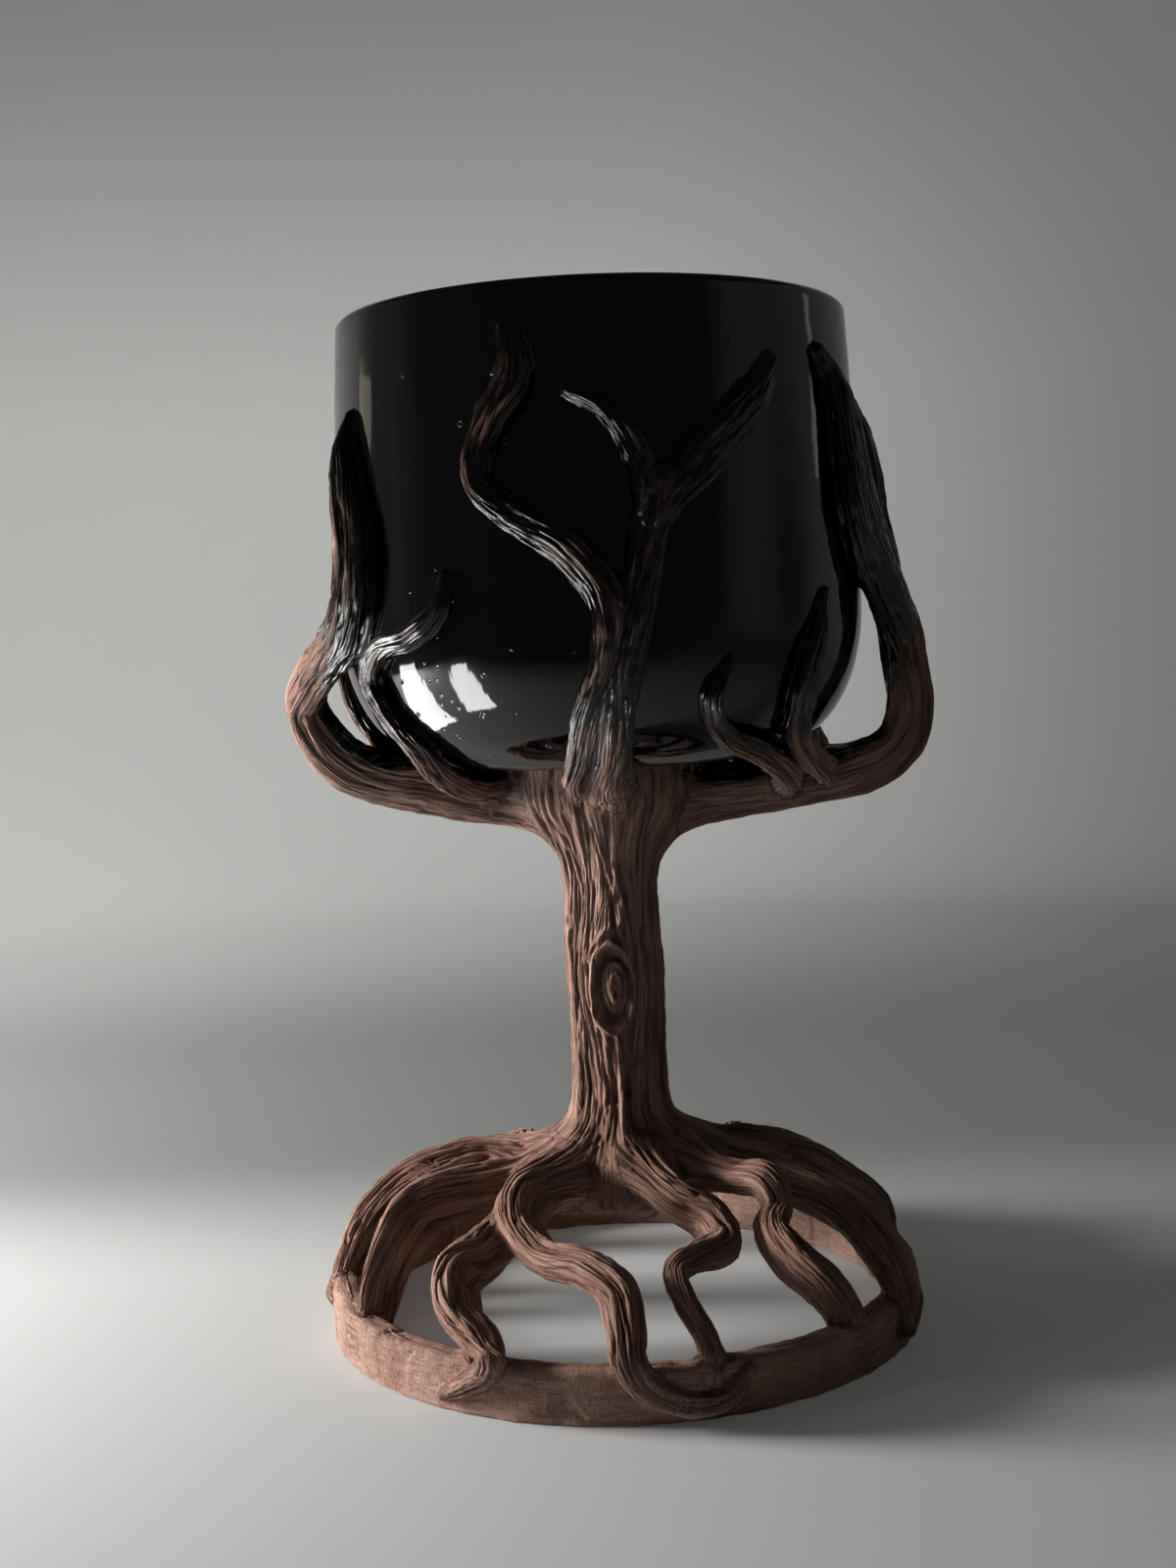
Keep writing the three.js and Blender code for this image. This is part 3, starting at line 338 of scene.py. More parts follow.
ROOTS = {
    "root_back_left": (ROOT_WIDTH, [
        (root(-104, 0.06, 0.77), 1.2, 1.3),
        (root(-107, 0.31, 0.7), 1.1, 1.45),
        (root(-102, 0.55, 0.65), 1.1, 1.45),
        (root(-98, 0.75, 0.54), 0.95, 1.3),
        (root(-94, 0.89, 0.35), 0.76, 1.1),
        (root(-91, 0.97, 0.1), 0.72, 0.95),
        (root(-89, 1.03, -0.16), 0.74, 0.8),
    ]),
    "root_back_left_fork": (ROOT_WIDTH, [
        (root(-99, 0.66, 0.6), 0.7, 0.7),
        (root(-103, 0.86, 0.42), 0.8, 0.7),
        (root(-103, 0.98, 0.14), 0.75, 0.65),
        (on_ring(-101, 0.2, 0.8), 0.75, 0.6),
        (on_ring(-98, 0.8, 0.35), 0.5, 0.4),
    ]),
    "root_left": (ROOT_WIDTH, [
        (root(-72, 0.06, 0.72), 1.2, 1.25),
        (root(-73, 0.44, 0.67), 0.92, 1.25),
        (root(-69.5, 0.71, 0.61), 0.74, 1.25),
        (root(-65, 0.83, 0.46), 0.6, 1.2),
        (root(-64, 0.91, 0.2), 0.56, 1.1),
        (root(-63.5, 0.98, -0.25), 0.7, 0.9),
    ]),
    "root_front": (ROOT_WIDTH, [
        (root(-47, 0.06, 0.78), 1.1, 1.2),
        (root(-49, 0.34, 0.71), 0.95, 1.15),
        (root(-40, 0.47, 0.59), 0.9, 1.1),
        (root(-24, 0.6, 0.47), 0.86, 1.05),
        (root(-9, 0.74, 0.47), 0.86, 1.05),
        (root(-2.5, 0.87, 0.4), 0.88, 1),
        (root(-1, 0.99, 0.24), 0.85, 0.9),
        (on_ring(-0.5, 0.2, 1.15), 0.82, 0.66),
        (on_ring(3, 0.9, 0.62), 0.72, 0.5),
        (on_ring(9, 0.8, 0.33), 0.58, 0.44),
        (on_ring(15.5, 0.7, 0.36), 0.5, 0.4),
        (on_ring(20, 0.3, 0.8), 0.3, 0.3),
    ]),
    "root_front_fork": (ROOT_WIDTH, [
        (root(-47, 0.36, 0.62), 0.8, 1),
        (root(-46, 0.58, 0.41), 0.85, 1.25),
        (root(-44.5, 0.76, 0.33), 0.88, 1.3),
        (root(-38, 0.89, 0.2), 0.86, 1.25),
        (root(-28, 1, 0.08), 0.8, 1),
        (on_ring(-25, 0.4, 1.05), 0.7, 0.66),
        (on_ring(-26, 0.8, 0.84), 0.62, 0.52),
        (on_ring(-29.5, 0.9, 0.6), 0.5, 0.42),
        (on_ring(-34.5, 0.5, 0.3), 0.26, 0.28),
    ]),
    "root_front_right": (ROOT_WIDTH, [
        (root(18, 0.06, 0.84), 1, 1.1),
        (root(26, 0.26, 0.68), 0.92, 1.1),
        (root(35, 0.4, 0.55), 0.95, 1.25),
        (root(32.5, 0.5, 0.42), 0.88, 1.2),
        (root(20, 0.58, 0.42), 0.7, 0.85),
        (root(12, 0.7, 0.41), 0.62, 0.74),
        (root(11.5, 0.85, 0.31), 0.56, 0.7),
        (root(14, 0.98, 0.08), 0.58, 0.7),
        (root(15.5, 1, -0.3), 0.86, 0.75),
    ]),
    "root_right": (ROOT_WIDTH, [
        (root(58, 0.06, 0.82), 0.95, 1),
        (root(53, 0.36, 0.78), 0.76, 0.86),
        (root(52, 0.54, 0.78), 0.84, 0.9),
        (root(51, 0.6, 0.62), 0.72, 0.8),
        (root(45, 0.63, 0.52), 0.74, 0.9),
        (root(43, 0.76, 0.36), 0.84, 1.15),
        (root(44, 0.9, 0.22), 0.84, 1.2),
        (root(46, 0.97, 0), 0.8, 1),
        (root(47.5, 0.99, -0.35), 0.9, 0.8),
    ]),
    "root_far_right": (ROOT_WIDTH, [
        (root(79, 0.06, 0.78), 1.1, 1.15),
        (root(75, 0.38, 0.71), 1, 1.12),
        (root(69, 0.67, 0.6), 1, 1.05),
        (root(65.5, 0.86, 0.46), 1, 1.05),
        (root(64, 0.99, 0.24), 1, 0.98),
        (root(63, 1.06, -0.02), 0.98, 0.84),
        (on_ring(60, 0.7, 0.5), 0.66, 0.5),
    ]),
    "root_back_right": (ROOT_WIDTH, [
        (root(98, 0.06, 0.82), 1.15, 1.15),
        (root(104, 0.36, 0.76), 1, 1.2),
        (root(107, 0.6, 0.61), 0.95, 1.25),
        (root(106, 0.81, 0.38), 0.92, 1.15),
        (root(104, 0.96, 0.17), 0.9, 1),
        (root(103, 0.99, -0.3), 0.95, 0.85),
    ]),
    "root_rear_right": (ROOT_WIDTH, [
        (root(138, 0.06, 0.68), 1.1, 1.15),
        (root(134, 0.36, 0.59), 0.95, 1.15),
        (root(141, 0.6, 0.57), 0.9, 1.1),
        (root(147, 0.8, 0.45), 0.88, 1.05),
        (root(143, 0.95, 0.14), 0.85, 0.95),
        (root(141, 0.99, -0.3), 0.9, 0.85),
    ]),
    "root_rear": (ROOT_WIDTH, [
        (root(178, 0.06, 0.7), 1.15, 1.2),
        (root(184, 0.34, 0.61), 1, 1.2),
        (root(179, 0.58, 0.59), 0.92, 1.15),
        (root(175, 0.79, 0.47), 0.88, 1.1),
        (root(178, 0.97, 0.22), 0.85, 0.95),
        (root(181, 1.06, -0.06), 0.8, 0.7),
        (on_ring(187, 0.7, 0.45), 0.55, 0.44),
    ]),
    "root_rear_left": (ROOT_WIDTH, [
        (root(-146, 0.06, 0.66), 1.1, 1.15),
        (root(-141, 0.36, 0.57), 0.95, 1.15),
        (root(-146, 0.6, 0.57), 0.9, 1.1),
        (root(-143, 0.79, 0.41), 0.88, 1),
        (root(-136, 0.94, 0.16), 0.85, 0.9),
        (root(-133, 0.99, -0.3), 0.9, 0.8),
    ]),
}

# How softly the coils are luted: the radius of the fillets in mm, by the trunk and away from it
TRUNK_FILLETS = {"limb_left": 9, "limb_right": 9, "limb_front": 2, "limb_back": 4, "branch_front_left": 1.5}
ROOT_FILLET = 7.5
LAP_FILLET = 1.6
FORK_FILLETS = {
    "root_front_fork": 3.5, "root_back_left_fork": 2.5, "twig_front_right": 2.6, "twig_front_left": 2.4,
}
RING_FILLET = 1.3
CUP_FILLET = 1.3
WIDEST_FILLET = 9

# How far apart the coils' grains are in mm, so that no two are alike, and how many points to take at once
GRAIN_APART = 137.0
AT_ONCE = 20000

# In mm: a skin deeper in its neighbour than this stays where it is, and the rest moves this far at most
BURIED = -3.5
MOST_MOVE = 4.2

# How deeply a piece is scored, as a share of the common depth
SCORING = {
    "foot_ring": 0.06, "trunk": 1, "root_back_left": 1.5, "root_back_left_fork": 1.5, "limb_left": 0.95,
}
ROOT_SCORING = 0.85
TREE_SCORING = 0.7

# In mm: how far off the cup's wall the glaze climbs over a coil, and the height down to which the glaze came
# when the cup was dipped upside down
GLAZE_REACH = {"limb_left": 7.6, "limb_right": 7.6, "branch_right_outer": 12}
OTHER_GLAZE_REACH = 6
DIP_LINES = {"limb_front": 113, "branch_front_left": 113}
OTHER_DIP_LINE = 118.5


def smooth(low, high, value):
    """0 below low, 1 above high and a smooth rise between."""
    share = np.clip((value - low) / (high - low), 0, 1)
    return share * share * (3 - 2 * share)


def melt(a, b, blend):
    """The distance to two bodies joined by a fillet."""
    near = np.clip(1 - np.abs(a - b) / blend, 0, 1)
    return np.minimum(a, b) - 0.25 * blend * near * near


def flow_curve(points, per_span=24):
    """A centripetal Catmull-Rom curve through rows of numbers, the first three of which are a place."""
    ends = np.vstack([2 * points[0] - points[1], points, 2 * points[-1] - points[-2]])
    gaps = np.linalg.norm(np.diff(ends[:, :3], axis=0), axis=1) ** 0.5
    s = (np.arange(per_span) / per_span)[:, None]
    spans = []
    for i in range(len(points) - 1):
        p0, p1, p2, p3 = ends[i : i + 4]
        g0, g1, g2 = gaps[i : i + 3]
        leave = ((p1 - p0) / g0 - (p2 - p0) / (g0 + g1) + (p2 - p1) / g1) * g1
        arrive = ((p2 - p1) / g1 - (p3 - p1) / (g1 + g2) + (p3 - p2) / g2) * g1
        spans.append(
            (2 * s**3 - 3 * s**2 + 1) * p1 + (s**3 - 2 * s**2 + s) * leave
            + (3 * s**2 - 2 * s**3) * p2 + (s**3 - s**2) * arrive
        )
    return np.vstack(spans + [points[-1:]])


def unit(rows):
    """The same ways, each 1 long."""
    return rows / np.maximum(np.linalg.norm(rows, axis=-1), 1e-9)[..., None]


def strokes(marks, x, y):
    """How far hand-drawn marks raise or cut a face at x and y.
    Each mark is a rise, a half width and the line it follows."""
    total = np.zeros(np.broadcast(x, y).shape)
    for rise, half, line in marks:
        line = np.array(line, float)
        gap = np.full(total.shape, 1e3)
        for start, way in zip(line[:-1], np.diff(line, axis=0)):
            share = np.clip(((x - start[0]) * way[0] + (y - start[1]) * way[1]) / (way**2).sum(), 0, 1)
            gap = np.minimum(gap, np.hypot(x - start[0] - share * way[0], y - start[1] - share * way[1]))
        total += rise * np.exp(-((gap / half) ** 2))
    return total


# How high the skin's own lid stands round the knot, as a share of the knot's lid
LID_SHARE = 0.6

# The marks round the knot in mm, from its middle: the string of clay over it, its lids,
# and the cuts that run up and down from it
KNOT_MARKS = (
    (1.1, 0.85, ((-5.4, 5.6), (-3.4, 8.8), (-0.6, 11.6), (1.9, 13.4))),
    (0.45, 0.5, ((1.9, 13.4), (2.6, 17.5), (1.6, 22), (0.4, 26))),
    (0.3, 0.45, ((0.6, 14), (0.9, 18), (0, 22.5))),
    (-0.8, 0.45, ((-3.8, 7.6), (-1.6, 10.2), (0.6, 12.2), (0.6, 16), (-0.6, 22))),
    (-0.9, 0.4, ((3, 11), (3.8, 15), (3.2, 20), (2, 25))),
    (1, 0.7, ((-4.8, -4.4), (-3.4, -7.2), (-0.6, -9.6))),
    (0.8, 0.6, ((4, -3.5), (3.2, -7), (0.6, -9.8), (0.4, -14), (1.2, -22), (0.8, -29))),
    (-1, 0.45, ((-0.8, -10.2), (-1.2, -15), (-0.6, -22), (-0.4, -30))),
    (-0.9, 0.4, ((-3.6, -9), (-3.2, -14), (-2, -20), (-1.8, -27))),
    (-0.8, 0.4, ((1.8, -11), (2, -16), (2.6, -23), (2.2, -30))),
    (-0.7, 0.4, ((3.8, -8), (4, -14), (4.4, -20))),
)


class Coil:
    """A rolled coil of clay: its line, the axes of its oval section and its half sizes, at even steps."""

    def __init__(self, name, order, width, stations, core, fillet):
        self.name, self.order = name, order
        self.fillets = fillet, FORK_FILLETS.get(name, LAP_FILLET)
        places = np.array([at for at, _, _ in stations])
        halves = 0.5 * width * np.array([[wide, deep] for _, wide, deep in stations])
        dense = flow_curve(np.hstack([places, halves]))
        arc = along_line(dense[:, :3])
        count = math.ceil(arc[-1] / ROW_STEP) + 1
        self.arc = np.linspace(0, arc[-1], count)
        self.step = self.arc[1]
        rows = np.stack([np.interp(self.arc, arc, dense[:, k]) for k in range(5)], 1)
        self.centre, self.half = rows[:, :3], rows[:, 3:]
        self.along = unit(np.gradient(self.centre, axis=0))
        away = self.centre - core
        self.away = unit(away - (away * self.along).sum(1)[:, None] * self.along)
        self.across = np.cross(self.away, self.along)
        self.girth = np.sqrt(self.half[:, 0] * self.half[:, 1]).mean()
        self.offset = np.array([0, 0, GRAIN_APART * (order + 1)])
        margin = self.half.max() + WIDEST_FILLET
        self.low, self.high = self.centre.min(0) - margin, self.centre.max(0) + margin

    def fold(self, arc, turn):
        """The coil's hand-rolled folds, as a share of its half size."""
        k = self.order
        broad = 0.035 * np.cos(2 * turn + 0.11 * arc + k) + 0.04 * np.cos(3 * turn - 0.16 * arc + 2 * k)
        fine = 0.022 * np.cos(5 * turn + 0.09 * arc + 3 * k) + 0.018 * np.cos(7 * turn - 0.13 * arc + 5 * k)
        return 0.95 + broad + fine

    def locate(self, points):
        """Each point's distance from the coil and its place in the grain."""
        coarse = self.centre[::2]
        near = np.empty(len(points), int)
        for first in range(0, len(points), AT_ONCE):
            some = points[first : first + AT_ONCE]
            gap = (coarse**2).sum(1) - 2 * some @ coarse.T
            near[first : first + AT_ONCE] = 2 * gap.argmin(1)
        last = len(self.arc) - 1
        slide = ((points - self.centre[near]) * self.along[near]).sum(1) / self.step
        place = np.clip(near + slide, 0, last)
        low = np.minimum(place.astype(int), last - 1)
        share = (place - low)[:, None]
        between = lambda rows: rows[low] + share * (rows[low + 1] - rows[low])
        half = between(self.half)
        off = points - between(self.centre)
        u = (off * between(self.across)).sum(1)
        v = (off * between(self.away)).sum(1)
        w = (off * between(self.along)).sum(1) * ((place <= 0) | (place >= last))
        turn = np.arctan2(v / half[:, 1], u / half[:, 0])
        arc = place * self.step + w
        local = np.stack([u, v, w], 1)
        size = np.stack([half[:, 0], half[:, 1], half[:, 1]], 1) * self.fold(arc, turn)[:, None]
        inner = np.linalg.norm(local / size, axis=1)
        steep = np.linalg.norm(local / size**2, axis=1)
        distance = np.where(inner > 0.02, inner * (inner - 1) / np.maximum(steep, 1e-6), -size[:, 1])
        grain = np.stack([self.girth * np.cos(turn), self.girth * np.sin(turn), arc], 1) + self.offset
        return distance, grain

    def skin(self):
        """Rows of points round the coil and over its rounded ends, with the way out at each."""
        a, b = self.half.max(0)
        around = math.pi * (3 * (a + b) - math.sqrt((3 * a + b) * (a + 3 * b)))
        sides = math.ceil(around / SIDE_STEP)
        turn = np.linspace(0, 2 * math.pi, sides, endpoint=False)[None]
        tilt = np.radians(np.linspace(0, 90, 7)[1:-1])
        last = len(self.arc) - 1
        rows = np.concatenate([np.zeros(len(tilt), int), np.arange(last + 1), np.full(len(tilt), last)])
        self.stout = smooth(0.2, 2.6, self.half.min(1))[rows]
        lean = np.concatenate([-tilt[::-1], np.zeros(last + 1), tilt])[:, None]
        half_width, half_depth = self.half[rows, 0, None], self.half[rows, 1, None]
        across, away, along = (way[rows][:, None] for way in (self.across, self.away, self.along))
        shift = half_depth * np.sin(lean)
        fold = self.fold(self.arc[rows][:, None] + shift, turn)
        wide = half_width * np.cos(lean) * fold * np.cos(turn)
        deep = half_depth * np.cos(lean) * fold * np.sin(turn)
        centre = self.centre[rows][:, None] + shift[..., None] * along
        points = centre + wide[..., None] * across + deep[..., None] * away
        out = (np.cos(turn) / half_width)[..., None] * across + (np.sin(turn) / half_depth)[..., None] * away
        out = np.cos(lean)[..., None] * unit(out) + np.sin(lean)[..., None] * along
        ends = [self.centre[k] + side * self.half[k, 1] * self.along[k] for k, side in ((0, -1), (-1, 1))]
        return points, out, ends


class Trunk:
    """The stem: a fluted column with a bulb over the roots, a flared crown and a knot in its face."""

    name, fillets = "trunk", (9, 2)
    low = np.array([-30, -30, BULB_UNDERSIDE - WIDEST_FILLET])
    high = np.array([30, 30, CUP_SEAT + WIDEST_FILLET])
    floor = BULB_UNDERSIDE - 0.8

    def __init__(self):
        profile = flow_curve(np.array([
            [0.5 * TRUNK_BULB_RADIUS, BULB_UNDERSIDE, 0],
            [0.9 * TRUNK_BULB_RADIUS, BULB_UNDERSIDE + 3, 0],
            [TRUNK_BULB_RADIUS, ROOT_CROWN - 5, 0],
            [TRUNK_RADIUS + 2.4, ROOT_CROWN, 0],
            [TRUNK_RADIUS, ROOT_CROWN + 7, 0],
            [TRUNK_RADIUS, (ROOT_CROWN + CUP_SEAT) / 2, 0],
            [TRUNK_RADIUS, CUP_SEAT - 24, 0],
            [TRUNK_RADIUS + 2.4, CUP_SEAT - 16, 0],
            [0.92 * TRUNK_CROWN_RADIUS, CUP_SEAT - 8, 0],
            [TRUNK_CROWN_RADIUS, CUP_SEAT - SLIP, 0],
        ], float))
        self.line = profile[:, :2]
        self.lean = np.cos(np.arctan2(np.gradient(self.line[:, 0]), np.gradient(self.line[:, 1])))

    def radius(self, height, azimuth):
        """The column's radius with its bark lobes."""
        fade = smooth(BULB_UNDERSIDE, 44, height) * smooth(CUP_SEAT, 98, height)
        lobes = 0.3 * np.cos(8 * azimuth + 0.016 * height) + 0.28 * np.cos(5 * azimuth - 0.03 * height + 1)
        folds = 0.22 * np.cos(3 * azimuth + 0.05 * height) + 0.2 * np.cos(11 * azimuth + 0.04 * height + 2)
        return np.interp(height, self.line[:, 1], self.line[:, 0]) + (0.3 + 0.7 * fade) * (lobes + folds)

    def locate(self, points):
        """Each point's distance from the trunk and its place in the grain, which flows round the knot."""
        azimuth = np.arctan2(points[:, 0], -points[:, 1])
        height = points[:, 2]
        across = np.hypot(points[:, 0], points[:, 1])
        lean = np.interp(height, self.line[:, 1], self.lean)
        side = (across - self.radius(height, azimuth)) * lean
        beyond = np.maximum(BULB_UNDERSIDE - height, height - CUP_SEAT)
        distance = np.where(beyond > 0, np.hypot(np.maximum(side, 0), beyond), np.maximum(side, beyond))
        x = TRUNK_RADIUS * (azimuth - math.radians(KNOT_AZIMUTH))
        y = (height - KNOT_HEIGHT) * KNOT_HALF_WIDTH / KNOT_HALF_HEIGHT
        a = KNOT_HALF_WIDTH + 0.7
        x = x * (1 - a * a / np.maximum(x * x + y * y, a * a) * np.exp(-((x / 9) ** 2)))
        turn = x / TRUNK_RADIUS
        return distance, np.stack([TRUNK_RADIUS * np.sin(turn), -TRUNK_RADIUS * np.cos(turn), height + 9], 1)

    def knot(self, height, azimuth):
        """How far the face is raised or sunk at the knot: the hollow, its lid and the marks round it."""
        x = TRUNK_RADIUS * (azimuth - math.radians(KNOT_AZIMUTH))
        y = height - KNOT_HEIGHT
        eye = np.hypot(x / KNOT_HALF_WIDTH, y / KNOT_HALF_HEIGHT)
        turned = 0.3 * np.cos(15 * eye) * smooth(1, 0.8, eye)
        hollow = KNOT_DEPTH * (1 - 0.3 * x / KNOT_HALF_WIDTH) * np.sqrt(np.clip(1 - eye**2, 0, 1)) + turned
        around = np.arctan2(y / KNOT_HALF_HEIGHT, x / KNOT_HALF_WIDTH)
        lid = 0.4 + 0.6 * smooth(-0.6, 0.5, np.cos(around - math.radians(150)))
        ridge = LID_SHARE * KNOT_LID * lid * np.exp(-(((eye - 1.16) / 0.15) ** 2))
        return ridge - hollow + strokes(KNOT_MARKS, x, y) * smooth(0.9, 1.1, eye)

    def skin(self):
        """Rows of points over the rounded underside and up the column, with the way out at each."""
        heights = np.arange(BULB_UNDERSIDE, CUP_SEAT - SLIP, TRUNK_STEP)
        azimuth = np.linspace(-math.pi, math.pi, TRUNK_SIDES, endpoint=False)[None]
        radius = self.radius(heights[:, None], azimuth) + self.knot(heights[:, None], azimuth)
        out = np.stack([np.sin(azimuth), -np.cos(azimuth), 0 * azimuth], 2)
        points = radius[..., None] * out
        points[..., 2] += heights[:, None]
        slope = np.gradient(np.interp(heights, self.line[:, 1], self.line[:, 0]), heights)
        ways = np.repeat(out, len(heights), 0)
        ways[..., 2] -= slope[:, None]
        foot = points[0] * np.array([1, 1, 0])
        shares = np.array([0.35, 0.7, 0.9])[:, None, None]
        drop = (BULB_UNDERSIDE - self.floor) * np.sqrt(1 - shares * shares)
        under = shares * foot + (BULB_UNDERSIDE - drop) * np.array([0, 0, 1])
        down = np.zeros_like(under) + [0, 0, -1]
        points, ways = np.concatenate([under, points]), np.concatenate([down, unit(ways)])
        return points, ways, [np.array([0, 0, self.floor]), np.array([0, 0, CUP_SEAT - SLIP])]


class Ring:
    """The foot: a strip of clay on edge, closed to a ring, its top edges worn round."""

    name, fillets = "foot_ring", (RING_FILLET, RING_FILLET)
    low = np.array([-75, -75, -WIDEST_FILLET])
    high = np.array([75, 75, FOOT_HEIGHT + WIDEST_FILLET])
    middle = FOOT_RADIUS - FOOT_WALL / 2

    def locate(self, points):
        """Each point's distance from the ring and its place in the grain, which runs round it."""
        u = np.hypot(points[:, 0], points[:, 1]) - self.middle
        v = points[:, 2] - FOOT_HEIGHT / 2
        edge = 2.0
        past = np.stack([np.abs(u) - FOOT_WALL / 2 + edge, np.abs(v) - FOOT_HEIGHT / 2 + edge], 1)
        distance = np.linalg.norm(np.maximum(past, 0), axis=1) + np.minimum(past.max(1), 0) - edge
        azimuth = np.arctan2(points[:, 0], -points[:, 1])
        return distance, np.stack([u - 90, v, self.middle * azimuth], 1)

    def skin(self):
        """Rows round the section; the underside is flat and the top is worn uneven."""
        inner, outer, top, low = self.middle - FOOT_WALL / 2, FOOT_RADIUS, FOOT_HEIGHT, 0.5
        corners = [
            [(outer - low, 0), (outer, 0), (outer, low)],
            [(outer, top - FOOT_EDGE), (outer, top), (outer - FOOT_EDGE, top)],
            [(inner + FOOT_EDGE, top), (inner, top), (inner, top - FOOT_EDGE)],
            [(inner, low), (inner, 0), (inner + low, 0)],
        ]
        loop = np.vstack([bezier(corner, 12) for corner in corners] + [[corners[0][0]]])
        radius, height = even_steps(loop, RING_STEPS, closed=True)
        azimuth = np.linspace(-math.pi, math.pi, RING_SIDES, endpoint=False)[None]
        worn = 0.2 * np.cos(3 * azimuth + 1) + 0.15 * np.cos(7 * azimuth) + 0.1 * np.cos(13 * azimuth + 2)
        height = height - (0.35 + worn) * smooth(3, FOOT_HEIGHT, height)
        bulge = 0.16 * np.cos(5 * azimuth + 2) + 0.12 * np.cos(9 * azimuth) + 0.08 * np.cos(16 * azimuth + 1)
        radius = radius - (0.36 + bulge) * smooth(0, 2, height) * np.sign(radius - self.middle)
        points = spin(radius, height, azimuth)
        across = np.roll(points, -1, 0) - np.roll(points, 1, 0)
        round_it = np.stack([np.cos(azimuth), np.sin(azimuth), 0 * azimuth], 2)
        return points, unit(np.cross(round_it, across)), None


class Cup:
    """The thrown cup, as what the coils lie on."""

    name, fillets = "cup", (CUP_FILLET, CUP_FILLET)
    low = np.array([-60, -60, CUP_SEAT - 6])
    high = np.array([60, 60, CUP_SEAT + CUP_HEIGHT])
    line = np.vstack([np.stack([np.linspace(0, CUP_BASE_RADIUS, 30)[:-1], np.zeros(29)], 1), CUP_LINE])
    out = np.stack([np.gradient(line[:, 1]), -np.gradient(line[:, 0])], 1)
    out /= np.linalg.norm(out, axis=1)[:, None]

    def locate(self, points):
        """Each point's distance from the wall; the cup itself has no grain."""
        flat = np.stack([np.hypot(points[:, 0], points[:, 1]), points[:, 2] - CUP_SEAT], 1)
        near = ((self.line**2).sum(1) - 2 * flat @ self.line.T).argmin(1)
        return ((flat - self.line[near]) * self.out[near]).sum(1), None

    def outward(self, points):
        """The way off the wall at each point."""
        flat = np.stack([np.hypot(points[:, 0], points[:, 1]), points[:, 2] - CUP_SEAT], 1)
        out = self.out[((self.line**2).sum(1) - 2 * flat @ self.line.T).argmin(1)]
        level = points[:, :2] / np.maximum(flat[:, :1], 1e-6)
        return np.hstack([level * out[:, :1], out[:, 1:]])


def wind_coils():
    """Every body of clay in the order in which it is luted on."""
    cup_core = np.array([0, 0, CUP_SEAT + 0.4 * CUP_HEIGHT])
    foot_core = np.zeros(3)
    bodies = [Trunk()]
    for name, (width, stations) in {**LIMBS, **BRANCHES, **ROOTS}.items():
        core, fillet = (foot_core, ROOT_FILLET) if name in ROOTS else (cup_core, LAP_FILLET)
        bodies.append(Coil(name, len(bodies), width, stations, core, TRUNK_FILLETS.get(name, fillet)))
    return bodies + [Ring(), Cup()]


def reached(body, points):
    """Which points lie in a body's neighbourhood."""
    return ((points > body.low) & (points < body.high)).all(1)


def gaps_to(bodies, points):
    """Each point's distance from each body, and its place in each body's grain."""
    gaps = np.full((len(bodies), len(points)), 1e3)
    grains = np.zeros((len(bodies), len(points), 3))
    for k, body in enumerate(bodies):
        here = reached(body, points)
        if here.any():
            gaps[k, here], grain = body.locate(points[here])
            if grain is not None:
                grains[k, here] = grain
    return gaps, grains


def joined(bodies, gaps, points):
    """The distance from all the clay together, with its fillets, which are wide by the trunk only."""
    by_trunk = smooth(34, 19, np.hypot(points[:, 0], points[:, 1]))
    whole = gaps[0]
    for body, gap in zip(bodies[1:], gaps[1:]):
        near, far = body.fillets
        whole = melt(whole, gap, far + (near - far) * by_trunk)
    return whole


def settle(own, bodies, points, ways):
    """Moves a skin out onto the fillets that it shares with its neighbours."""
    near = [b for b in bodies if b is own or reached(b, points).any()]
    gaps, _ = gaps_to(near, points)
    others = [k for k, b in enumerate(near) if b is not own]
    if not others:
        return points
    nearest = gaps[others].min(0)
    live = (nearest < WIDEST_FILLET) & (nearest > BURIED)
    most = MOST_MOVE * smooth(BURIED, -0.4, nearest[live])
    start, way = points[live], ways[live]
    move = np.zeros(len(start))
    for _ in range(6):
        place = start + move[:, None] * way
        gaps, _ = gaps_to(near, place)
        move = np.clip(move - joined(near, gaps, place), 0, most)
    points = points.copy()
    points[live] = start + move[:, None] * way
    return points


def grain_of(own, bodies, points):
    """The two nearest bodies' grain at each point, the share of the second, and how deep the scoring is."""
    near = [b for b in bodies if b.name != "cup" and (b is own or reached(b, points).any())]
    gaps, grains = gaps_to(near, points)
    if len(near) == 1:
        return grains[0], grains[0], np.zeros(len(points)), np.full(len(points), scored(near[0]))
    order = np.argsort(gaps, 0)[:2]
    every = np.arange(len(points))
    first, second = gaps[order[0], every], gaps[order[1], every]
    share = 0.5 * np.clip(1 - (second - first) / 2.4, 0, 1)
    one, other = np.array([scored(b) for b in near])[order]
    return grains[order[0], every], grains[order[1], every], share, (1 - share) * one + share * other


def scored(body):
    """How deeply a body is scored, as a share of the common depth."""
    return SCORING.get(body.name, ROOT_SCORING if body.name in ROOTS else TREE_SCORING)


